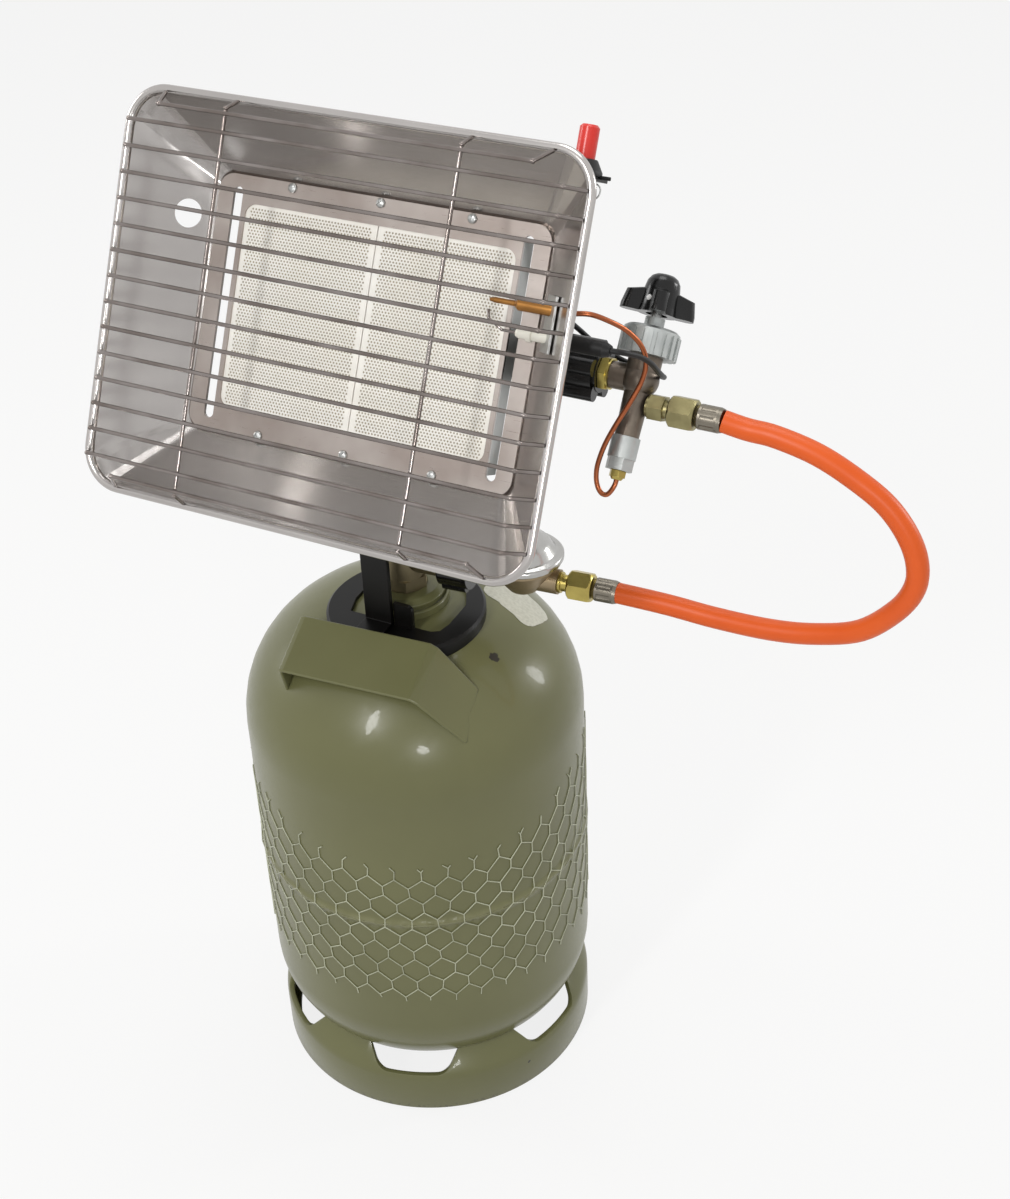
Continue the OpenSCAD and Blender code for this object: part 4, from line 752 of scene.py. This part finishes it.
@dataclass
class Studio:
    """Camera, floor, world and lamps."""

    target: Point = (0.10967, -0.07013, 0.44221)
    distance: float = 1.11559
    azimuth_deg: float = 27.98
    elevation_deg: float = 34.96
    roll_deg: float = -2.69
    lens_mm: float = 57.31
    sensor_mm: float = 36.0
    floor_size: float = 14.0
    floor_z: float = -0.0004         # just clear of the foot ring
    world_light: float = 0.5
    floor_glow: float = 0.84         # share of its own white that is seen in the floor
    floor_colour: str = "#cfcecb"
    # name, place, aimed at, width and height in metres, watts
    lamps: tuple[tuple[str, Point, Point, float, float, float], ...] = (
        ("key_softbox", (-0.15, -1.95, 1.9), (0.0, 0.0, 0.40), 0.25, 1.0, 24.0),
        ("window_softbox", (1.22, -1.82, 1.01), (0.0, 0.0, 0.35), 0.3, 0.3, 9.0),
        ("side_softbox", (1.6, 1.4, 0.95), (0.0, 0.0, 0.35), 0.3, 0.7, 10.0),
        ("left_softbox", (-1.9, -0.2, 1.2), (0.0, 0.0, 0.35), 0.7, 0.7, 10.0),
        ("top_softbox", (0.0, 0.5, 2.4), (0.0, 0.0, 0.45), 1.2, 1.2, 14.0),
    )

    def camera(self) -> None:
        """Make the camera."""
        a, e, roll = (math.radians(v) for v in (self.azimuth_deg, self.elevation_deg, self.roll_deg))
        back = Vector((math.sin(a) * math.cos(e), -math.cos(a) * math.cos(e), math.sin(e)))
        right = Vector((math.cos(a), math.sin(a), 0.0))
        up = back.cross(right)
        x = right * math.cos(roll) + up * math.sin(roll)
        y = up * math.cos(roll) - right * math.sin(roll)
        data = bpy.data.cameras.new("camera")
        data.lens, data.sensor_width = self.lens_mm, self.sensor_mm
        cam = bpy.data.objects.new("camera", data)
        place = Matrix.Translation(Vector(self.target) + back * self.distance)
        cam.matrix_world = place @ Matrix((x, y, back)).transposed().to_4x4()
        bpy.context.scene.collection.objects.link(cam)
        bpy.context.scene.camera = cam

    def seen(self, tree: Tree) -> Socket:
        """Mark the rays that see the studio itself.

        Args:
            tree: the node tree.

        Returns:
            1 for camera, glossy and transmission rays, and 0 for the rest.
        """
        path = add(tree, "ShaderNodeLightPath")
        marked = path["Is Camera Ray"]
        for other in ("Is Glossy Ray", "Is Transmission Ray"):
            marked = add(tree, "ShaderNodeMath", {0: marked, 1: path[other]}, operation="MAXIMUM")[0]
        return marked

    def floor(self) -> None:
        """Make the floor. The camera and reflections see it paler than the lamps alone make it."""
        select_only()
        bpy.ops.mesh.primitive_plane_add(size=self.floor_size, location=(0, 0, self.floor_z))
        floor = bpy.context.active_object
        floor.name = "floor"
        made = bpy.data.materials.new("pale_floor")
        tree = fresh_tree(made)
        diffuse = add(tree, "ShaderNodeBsdfDiffuse", {"Color": linear(self.floor_colour)})[0]
        glow = add(tree, "ShaderNodeEmission", {"Color": WHITE, "Strength": 1.0})[0]
        share = add(tree, "ShaderNodeMath", {0: self.seen(tree), 1: self.floor_glow}, operation="MULTIPLY")[0]
        mix = add(tree, "ShaderNodeMixShader", {0: share, 1: diffuse, 2: glow})[0]
        add(tree, "ShaderNodeOutputMaterial", {"Surface": mix})
        floor.data.materials.append(made)

    def world(self) -> None:
        """Make a plain world that lights softly and looks white."""
        world = bpy.data.worlds.new("studio")
        bpy.context.scene.world = world
        tree = fresh_tree(world)
        light = add(tree, "ShaderNodeBackground", {"Color": WHITE, "Strength": self.world_light})[0]
        white = add(tree, "ShaderNodeBackground", {"Color": WHITE, "Strength": 1.0})[0]
        mix = add(tree, "ShaderNodeMixShader", {0: self.seen(tree), 1: light, 2: white})[0]
        add(tree, "ShaderNodeOutputWorld", {"Surface": mix})

    def light(self) -> None:
        """Place the soft lamps."""
        for name, place, aim, width, height, watts in self.lamps:
            data = bpy.data.lights.new(name, "AREA")
            data.shape, data.energy, data.size, data.size_y = "ELLIPSE", watts, width, height
            lamp = bpy.data.objects.new(name, data)
            lamp.location = place
            lamp.rotation_mode = "QUATERNION"
            lamp.rotation_quaternion = (Vector(aim) - Vector(place)).to_track_quat("-Z", "Y")
            bpy.context.scene.collection.objects.link(lamp)

    def build(self) -> None:
        """Make the whole studio."""
        bpy.context.scene.view_settings.view_transform = "Standard"
        self.camera()
        self.floor()
        self.world()
        self.light()
        log.info("built the studio")


@dataclass
class GasHose:
    """The short hose from the gas tap down to the regulator."""

    diameter: float = 0.0133
    # The route from the tap's ferrule to the regulator's, in metres.
    route: tuple[Point, ...] = (
        (0.2118, 0.0097, 0.54198), (0.226, 0.011, 0.539), (0.243, 0.011, 0.538), (0.268, 0.011, 0.532),
        (0.291, 0.011, 0.521), (0.309, 0.012, 0.508), (0.322, 0.012, 0.492), (0.329, 0.012, 0.475),
        (0.329, 0.012, 0.458), (0.320, 0.012, 0.440), (0.300, 0.012, 0.420), (0.273, 0.013, 0.409),
        (0.245, 0.013, 0.404), (0.210, 0.014, 0.402), (0.178, 0.014, 0.403), (0.14505, 0.01269, 0.4036))
    steps: int = 6                   # lengths between two points of the route

    def build(self) -> None:
        path = smooth_route(self.route, self.steps)
        length = length_of(path)
        hose = tubes("gas_hose", [path], self.diameter / 2, 6)
        coat(hose, HOSE_RUBBER, "hose_rubber", 60)
        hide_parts("hose")
        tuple(self.route[0])
        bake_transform(hose)
        log.info("gas_hose is %.0f mm long", length / MM)


@dataclass
class NetSleeve:
    """The elastic net round the bottle: cells of thin cord, cut through at the upper and lower edges."""

    radius_mm: float = 115.0
    weld_h_mm: float = 1.3           # how far the weld's bead lifts it
    weld_half_mm: float = 5.0
    cord_mm: float = 0.8
    columns: int = 41
    rows: int = 8
    last_row: float = 0.35           # share of a row that is left above the last whole one
    low_mm: float = 109.0
    high_mm: float = 229.0
    low_edge_deg: float = -62.0      # where the upper edge is lowest, turned from +X towards +Y
    left_rise_mm: float = 20.0       # how far the edge rises a quarter turn to the left of there
    right_rise_mm: float = 30.0      # and to the right
    stem: float = 0.5                # upright share of each cell's height
    loose_mm: float = 0.55           # how far the crossings wander
    seed: int = 11
    foot_end: tuple[float, float] = (0.12, 0.34)    # shortest and longest cut end below, as shares of a cell
    foot_lean: float = 0.05          # how far those lean, as a share of a column
    head_end: tuple[float, float] = (0.12, 0.3)     # and above
    head_lean: float = 0.7
    head_share: float = 0.8          # share of the upper cords that still have an end

    def point(self, u: float, v: float, wander: random.Random | None = None) -> Vector:
        """Place a point of the net.

        Args:
            u: columns round the bottle.
            v: share of the height, 0 at the lower edge and 1 at the upper.
            wander: where the crossings' small errors come from, or None for none.

        Returns:
            The point on the bottle's wall, in metres.
        """
        a = 2 * math.pi * u / self.columns
        side = math.sin(a - math.radians(self.low_edge_deg))
        rise = (self.right_rise_mm if side > 0 else self.left_rise_mm) * side ** 2
        z = self.low_mm + v * (self.high_mm + rise - self.low_mm)
        if wander is not None:
            a += wander.uniform(-1, 1) * self.loose_mm / self.radius_mm
            z += wander.uniform(-1, 1) * self.loose_mm
        over_weld = max(0.0, 1 - abs(z - WELD_Z_MM) / self.weld_half_mm)
        r = self.radius_mm + self.weld_h_mm * over_weld ** 0.5
        return Vector((r * math.cos(a), r * math.sin(a), z)) * MM

    def cords(self) -> Iterable[list[Vector]]:
        """Draw each cord of the net.

        Returns:
            Each cord as a short line of points, one after the other.
        """
        wander = random.Random(self.seed)
        step = 1.0 / (self.rows + self.last_row)
        rows, columns = range(self.rows + 1), range(self.columns)
        places = [(row, col, col + 0.5 * (row % 2)) for row in rows for col in columns]
        foot, head = {}, {}
        for row, col, u in places:
            foot[row, col] = self.point(u, row * step, wander)
            head[row, col] = self.point(u, (row + self.stem) * step, wander)
        for row, col, u in places:
            if row:
                yield [foot[row, col], head[row, col]]
            else:
                short = wander.uniform(*self.foot_end)
                lean = wander.uniform(-self.foot_lean, self.foot_lean)
                yield [self.point(u + lean, short * step), head[row, col]]
            if row < self.rows:
                left = (col if row % 2 else col - 1) % self.columns
                for other in (left, (left + 1) % self.columns):
                    yield [head[row, col], foot[row + 1, other]]
                continue
            for side in (-1, 1):
                if wander.random() < self.head_share:
                    reach = wander.uniform(*self.head_end)
                    yield [head[row, col],
                           self.point(u + side * reach * self.head_lean, (row + self.stem + reach) * step)]

    def build(self) -> None:
        """Build the net as one mesh of thin tubes."""
        net = tubes("net", self.cords(), self.cord_mm * MM / 2, 1)
        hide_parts("net_sleeve")
        finish_piece(net, NET_CORD, "bottle", "net", 80)


@dataclass
class SubAssembly:
    """A sub-assembly of the heater, with the loaded frame that holds its CAD nodes."""

    frame: dict[str, Any]

    def dress(self, finish: Finish, *nodes: str) -> None:
        """Give CAD nodes a finish.

        Args:
            finish: the finish.
            nodes: the nodes' names.
        """
        for name in nodes:
            mesh = self.frame["nodes"][name].data
            mesh.materials.clear()
            mesh.materials.append(finish.material())
        log.info("%s on %s", finish.name, ", ".join(nodes))

    def refine(self, finish: Finish, *nodes: str, edge_mm: float = 0.0, angle: float = 32.0) -> None:
        """Stand a smoother copy in for CAD nodes: facets merged, edges rounded, and shaded smooth.

        Args:
            finish: the finish.
            nodes: the nodes' names.
            edge_mm: radius of the rounded edges, or 0 for none.
            angle: faces that meet at less than this angle, in degrees, are shaded smooth and keep their edge.
        """
        record = self.frame["record"]
        for name in nodes:
            piece = bpy.data.objects.new(f"{name}_finished", self.frame["nodes"][name].data.copy())
            bpy.context.scene.collection.objects.link(piece)
            select_only(piece)
            bpy.ops.object.mode_set(mode="EDIT")
            bpy.ops.mesh.select_all(action="SELECT")
            bpy.ops.mesh.remove_doubles(threshold=0.000001)
            if edge_mm:
                bpy.ops.mesh.dissolve_limited(angle_limit=math.radians(0.6))
            bpy.ops.object.mode_set(mode="OBJECT")
            if edge_mm:
                apply_modifier(piece, "BEVEL", width=edge_mm * MM, segments=2, limit_method="ANGLE",
                               angle_limit=math.radians(angle), miter_outer="MITER_ARC")
            body = next(b for b, held in record["behaviour"]["bodies"].items() if name in held)
            slot = next(part["material_slot"] for part in record["subparts"] if part["node"] == name)
            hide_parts(name)
            finish_piece(piece, finish, body, slot, angle)
            apply_modifier(piece, "WEIGHTED_NORMAL", keep_sharp=True, weight=100)


@dataclass
class Bottle(SubAssembly):
    """Gas bottle with its foot ring, neck, marking plate, sticker and net."""

    # Outer side of the foot ring: radius and height, from its lip over the rounded crease to the shell.
    foot_outline: Outline = (
        (105.3, 0.02), (111.9, 0.02), (112.9, 0.4), (113.3, 1.4), (113.3, 28.5), (113.1, 30.8), (112.5, 33.0),
        (111.4, 35.2), (109.9, 37.5), (102.2, 48.75))
    foot_segments: int = 144
    foot_wall: float = 3.0
    foot_edge: float = 0.5
    foot_holes: int = 6
    foot_hole_turn: float = 19.0     # from the front towards the gas tap's side
    hole_low: float = 33.6
    hole_half_low: float = 24.0
    hole_half_high: float = 35.0     # at hole_high
    hole_high: float = 55.0
    hole_corner: float = 6.0
    punch_from: float = 80.0         # the punch's distance from the bottle's axis
    punch_length: float = 60.0
    sticker_size: tuple[float, float] = (48.0, 37.0)
    sticker_corner: float = 9.0
    sticker_strips: int = 16         # each way, so that it bends with the shoulder
    sticker_place: Point = (62.5, 43.5, 362.0)
    sticker_normal: Point = (0.50, 0.30, 0.81)
    sticker_turn: float = -12.0      # way down the slope, turned from +X towards -Y
    sticker_slope: float = -0.4
    sticker_lift: float = 0.12
    sticker_thickness: float = 0.15

    def foot(self) -> None:
        """Press the foot ring from one sheet, with rounded openings under the shell."""
        ring = lathe("pressed_foot_ring", self.foot_outline, self.foot_segments, capped=False)
        apply_modifier(ring, "SOLIDIFY", thickness=self.foot_wall * MM, offset=-1.0)
        for k in range(self.foot_holes):
            cut(ring, self.hole_cutter(math.radians(self.foot_hole_turn + 360 / self.foot_holes * k)))
        apply_modifier(ring, "BEVEL", width=self.foot_edge * MM, segments=2, limit_method="ANGLE",
                       angle_limit=math.radians(50))
        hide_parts("foot_ring")
        finish_piece(ring, OLIVE_ENAMEL, "bottle", "bottle_enamel", 30)

    def hole_cutter(self, turn: float) -> Piece:
        """Make the block that punches one opening, with rounded lower corners.

        Args:
            turn: the opening's middle, in radians from the front.

        Returns:
            The block.
        """
        select_only()
        bpy.ops.mesh.primitive_plane_add(size=2 * MM, location=(0.0, 0.0, 0.0))
        block = bpy.context.active_object
        for corner in block.data.vertices:
            high = corner.co.y > 0
            corner.co.x *= self.hole_half_high if high else self.hole_half_low
            corner.co.y = (self.hole_high if high else self.hole_low) * MM
        bpy.ops.object.mode_set(mode="EDIT")
        bpy.ops.mesh.select_mode(type="VERT")
        bpy.ops.mesh.select_all(action="DESELECT")
        bpy.ops.object.mode_set(mode="OBJECT")
        for corner in block.data.vertices:
            corner.select = corner.co.y < (self.hole_low + 1) * MM
        bpy.ops.object.mode_set(mode="EDIT")
        bpy.ops.mesh.bevel(offset=self.hole_corner * MM, segments=6, affect="VERTICES")
        bpy.ops.mesh.select_all(action="SELECT")
        bpy.ops.mesh.extrude_region_move(TRANSFORM_OT_translate={"value": (0.0, 0.0, self.punch_length * MM)})
        settle_faces()
        out, along = (Vector((math.sin(a), -math.cos(a), 0.0)) for a in (turn, turn + math.pi / 2))
        block.matrix_world = facing(out * self.punch_from * MM, out, along)
        place_in_mesh(block)
        return block

    def sticker(self) -> None:
        """Lay the blank sticker on the shoulder, and wrap it on to the enamel."""
        select_only()
        bpy.ops.mesh.primitive_plane_add(size=MM, location=(0.0, 0.0, 0.0))
        paper = open_new("blank_sticker")
        length, width = self.sticker_size
        bpy.ops.transform.resize(value=(length, width, 1.0), center_override=(0.0, 0.0, 0.0))
        bpy.ops.mesh.bevel(offset=self.sticker_corner * MM, segments=7, affect="VERTICES")
        for way, reach in ((Vector((1.0, 0.0, 0.0)), length), (Vector((0.0, 1.0, 0.0)), width)):
            for k in range(1, self.sticker_strips):
                bpy.ops.mesh.select_all(action="SELECT")
                bpy.ops.mesh.bisect(plane_co=way * (k / self.sticker_strips - 0.5) * reach * MM, plane_no=way)
        settle_faces()
        turn = math.radians(self.sticker_turn)
        paper.matrix_world = facing(Vector(self.sticker_place) * MM, Vector(self.sticker_normal),
                                    Vector((math.cos(turn), math.sin(turn), self.sticker_slope)))
        place_in_mesh(paper)
        shell = self.frame["nodes"]["shell_upper"]
        apply_modifier(paper, "SHRINKWRAP", target=shell, wrap_method="NEAREST_SURFACEPOINT",
                       wrap_mode="ABOVE_SURFACE", offset=self.sticker_lift * MM)
        apply_modifier(paper, "SOLIDIFY", thickness=self.sticker_thickness * MM, offset=1.0)
        finish_piece(paper, LABEL_PAPER, "bottle", "bottle_enamel", 40)

    def build(self) -> None:
        """Dress the bottle, and make its foot ring, sticker and net."""
        self.dress(OLIVE_ENAMEL, "foot_ring")
        self.refine(OLIVE_ENAMEL, "shell_lower", "shell_upper", angle=16.0)
        self.refine(OLIVE_ENAMEL, "valve_boss", "neck_ring", edge_mm=0.5)
        self.refine(OLIVE_ENAMEL, "id_plate", edge_mm=0.5, angle=16.0)
        self.foot()
        self.sticker()
        NetSleeve().build()


@dataclass
class BottleFittings(SubAssembly):
    """Bottle valve, regulator and hose ends."""

    def build(self) -> None:
        """Dress the fittings."""
        self.refine(PRESSED_BRASS, "bottle_valve", "valve_bonnet", edge_mm=0.4)
        self.refine(BLACK_PHENOLIC, "hand_wheel", "union_nut", edge_mm=0.5)
        self.refine(BRONZE_CASTING, "regulator_body", edge_mm=0.5)
        self.refine(SATIN_ALUMINIUM, "regulator_dome")
        self.refine(TURNED_BRASS, "regulator_tail", "hose_nut_low", edge_mm=0.3)
        self.refine(DULL_BRASS, "hose_nut_high", "hose_port", edge_mm=0.3)
        self.refine(FERRULE_STEEL, "ferrule_low", "ferrule_high", edge_mm=0.2)


@dataclass
class Holder(SubAssembly):
    """Ring, arm and yoke that carry the burner, with its pivots."""

    def build(self) -> None:
        """Dress the holder."""
        self.refine(BLACK_ENAMEL, "holder_ring", "holder_arm", "yoke", edge_mm=0.5)
        self.refine(ZINC_PLATE, "pivot_bolt", "pivot_nut", "side_frame_left", "side_frame_right",
                    edge_mm=0.25)
        self.dress(FIBRE, "friction_washers")
        self.refine(BLACK_PHENOLIC, "star_nut", edge_mm=0.6)
        self.refine(TURNED_BRASS, "tap_stub", "tap_lock_nut", edge_mm=0.3)


@dataclass
class Burner(SubAssembly):
    """Reflector, guard and ceramic burner."""

    screw_x: tuple[float, ...] = (-59.5, 0.0, 59.5)
    screw_y: float = 73.95
    screw_seat: float = 1.45         # top of the frame's sheet
    screw_head: Outline = (
        (2.9, 0.0), (2.9, 0.4), (2.75, 0.8), (2.35, 1.2), (1.75, 1.5), (1.0, 1.7), (0.3, 1.75))
    screw_turns: tuple[float, float] = (8.0, 37.0)  # the first slot's angle, and how far each next one is on
    slot_size: Point = (3.4, 0.7, 1.3)
    slot_rounding: float = 0.1

    def screws(self) -> None:
        """Make the six domed cross-slot screws of the burner's frame."""
        first = lathe("frame_screw_1", self.screw_head, 24, capped=True)
        length, width, depth = self.slot_size
        for size in ((length, width, depth), (width, length, depth)):
            cut(first, box_form("slot", size, (0.0, 0.0, self.screw_head[-1][1]), self.slot_rounding, 1))
        places = [(x, y) for y in (self.screw_y, -self.screw_y) for x in self.screw_x]
        screws = [first] + [copy_of(first, f"frame_screw_{k}") for k in range(2, len(places) + 1)]
        start, further = self.screw_turns
        for k, (screw, (x, y)) in enumerate(zip(screws, places)):
            seat = Matrix.Translation(Vector((x, y, self.screw_seat)) * MM)
            turn = Matrix.Rotation(math.radians(start + further * k), 4, "Z")
            screw.matrix_world = HEAD.matrix() @ seat @ turn
            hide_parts("frame_screws")
            finish_piece(screw, ZINC_PLATE, "head", "zinc_steel", 40)

    def build(self) -> None:
        """Dress the burner, and make its screws."""
        self.refine(REFLECTOR_SHEET, "reflector")
        self.refine(FRAME_SHEET, "burner_frame")
        self.dress(ZINC_PLATE, "frame_screws")
        self.refine(ZINC_PLATE, "burner_housing", "mixing_tube", edge_mm=0.3)
        self.dress(PLAQUE, "plaque_left", "plaque_right")
        self.dress(FIBRE, "plaque_gasket")
        self.dress(TURNED_BRASS, "injector")
        self.refine(GUARD_WIRE, "grille_wires", "grille_ties")
        self.screws()


@dataclass
class GasTap(SubAssembly):
    """Gas tap with its push knob and magnet unit."""

    dot_place: Point = (154.60, 37.28, 596.07)
    dot_normal: Point = (-0.289, -0.712, 0.640)
    dot_outline: Outline = ((1.7, -0.3), (1.7, 0.05), (1.5, 0.16), (0.6, 0.2))

    def dot(self) -> None:
        """Print the white dot on one wing of the knob."""
        dot = lathe("white_dot", self.dot_outline, 24, capped=True)
        dot.matrix_world = facing(Vector(self.dot_place) * MM, Vector(self.dot_normal))
        finish_piece(dot, WHITE_DOT, "knob", "wheel_plastic", 40)

    def build(self) -> None:
        """Dress the tap, and print its dot."""
        self.refine(DARK_BRASS, "tap_body", edge_mm=0.5)
        self.refine(DIE_CAST_ZINC, "tap_bonnet", "magnet_unit", edge_mm=0.3)
        self.refine(ZINC_PLATE, "tap_spindle")
        self.refine(BLACK_PHENOLIC, "tap_knob", edge_mm=0.7)
        self.refine(TURNED_BRASS, "magnet_gland", edge_mm=0.3)
        self.dot()


@dataclass
class FlameGuard(SubAssembly):
    """Thermocouple and spark electrode with their leads, and the push igniter."""

    copper_mm: float = 3.0
    # Copper lead from the thermocouple's end to the gland of the magnet unit, in the head's millimetres.
    copper_route: tuple[Point, ...] = (
        (136.24, 32.5, 20), (146, 34, 17), (154, 32, 8), (161, 28, -4), (167, 21, -14), (169, 12, -21),
        (167, 1, -25), (162, -12, -26), (156, -25, -27), (150.5, -38, -29), (147, -50, -32),
        (146.5, -58, -34), (148, -64, -35.5), (151, -67.5, -36.3), (154.6, -67, -36.6),
        (157.7, -60.96, -36.70), (157.7, -54.57, -37.89))
    lead_mm: float = 3.2
    # Ignition lead from the boot, behind the star nut, to the igniter's tail, in the head's millimetres.
    lead_route: tuple[Point, ...] = (
        (146.04, 17, 20), (154.04, 17, 20), (160.04, 17, 20), (163.44, 17, 20), (167.5, 17, 18),
        (170.5, 16.7, 12.5), (173.5, 15.7, 2), (175.3, 12.5, -12), (174.8, 8, -27), (172.5, 5, -42),
        (168.5, 3.5, -56), (159.5, 3.5, -67), (147, 5, -72.5), (132, 8.5, -73), (119, 14, -68),
        (111, 21, -58), (108, 26, -46), (107.5, 31, -34), (109.5, 38, -24), (113.5, 47, -15),
        (115.5, 56, -12))
    igniter_place: Point = (115.5, 107.0, -12.0)
    # Black cap that holds the igniter, round the red button.
    cap_outline: Outline = (
        (8.9, 0.4), (10.8, 0.4), (11.2, 0.9), (11.2, 2.8), (10.7, 3.6), (7.6, 9.0), (7.0, 9.5), (6.4, 9.3),
        (6.2, 8.6), (8.9, 6.2), (8.9, 0.4))
    spade_size: Point = (8.0, 2.2, 1.2)
    spade_place: Point = (129.0, 107.4, -12.0)
    spade_rounding: float = 0.5
    earth_mm: float = 0.9
    earth_route: tuple[Point, ...] = (
        (124.5, 103.6, -11.0), (126.6, 103.2, -10.7), (128.3, 101.6, -10.5), (128.6, 99.2, -10.4),
        (127.6, 96.8, -10.6), (125.6, 95.2, -11.0), (123.2, 94.6, -11.6))

    def copper(self) -> None:
        """Bend the thermocouple's copper lead."""
        lead = tubes("copper_capillary", [HEAD.route(self.copper_route, 6)], self.copper_mm * MM / 2, 4)
        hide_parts("copper_lead")
        finish_piece(lead, COPPER_TUBE, "head", "copper", 60)

    def lead(self) -> None:
        path = HEAD.route(self.lead_route, 5)
        length = length_of(path)
        lead = tubes("ignition_cable", [path], self.lead_mm * MM / 2, 4)
        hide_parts("ignition_lead")
        finish_piece(lead, BLACK_SILICONE, "head", "lead_black", 60)
        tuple(path[0])
        log.info("ignition_cable is %.0f mm long", length / MM)

    def igniter(self) -> None:
        """Make the igniter's black cap, its spade terminal and the earth wire beside it."""
        cap = lathe("igniter_cap", self.cap_outline, 48, capped=False)
        cap.matrix_world = HEAD.matrix() @ facing(Vector(self.igniter_place) * MM, Vector((0.0, 1.0, 0.0)))
        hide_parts("igniter_nut")
        finish_piece(cap, BLACK_SILICONE, "head", "black_enamel", 35)
        spade = box_form("igniter_spade", self.spade_size, self.spade_place, self.spade_rounding)
        spade.matrix_world = HEAD.matrix()
        finish_piece(spade, BLACK_SILICONE, "head", "black_enamel", 35)
        earth = tubes("earth_wire", [HEAD.route(self.earth_route, 5)], self.earth_mm * MM / 2, 3)
        finish_piece(earth, ZINC_PLATE, "head", "zinc_steel", 60)

    def build(self) -> None:
        """Dress the flame guard and the igniter, and make their copper lead, cap, terminal and earth wire."""
        self.refine(PROBE_SLEEVE, "thermocouple")
        self.dress(COPPER_TUBE, "copper_lead")
        self.refine(ZINC_PLATE, "probe_bracket", edge_mm=0.2)
        self.refine(GLAZED_ALUMINA, "spark_electrode", edge_mm=0.2)
        self.refine(GUARD_WIRE, "electrode_wire")
        self.dress(BLACK_SILICONE, "ignition_lead")
        self.refine(BLACK_SILICONE, "ignition_boot", "igniter_body", edge_mm=0.4)
        self.refine(BLACK_ENAMEL, "igniter_bracket", edge_mm=0.4)
        self.dress(BLACK_ENAMEL, "igniter_nut")
        self.refine(RED_ABS, "igniter_button", edge_mm=0.9)
        self.copper()
        self.igniter()


def main() -> None:
    """Build the scene in order."""
    logging.basicConfig(level=logging.INFO, format="%(name)s: %(message)s")
    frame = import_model()
    Studio().build()
    GasHose().build()
    guard = FlameGuard(frame)
    guard.lead()
    for part in (Bottle(frame), BottleFittings(frame), Holder(frame), Burner(frame), GasTap(frame), guard):
        part.build()


if __name__ == "__main__":
    main()
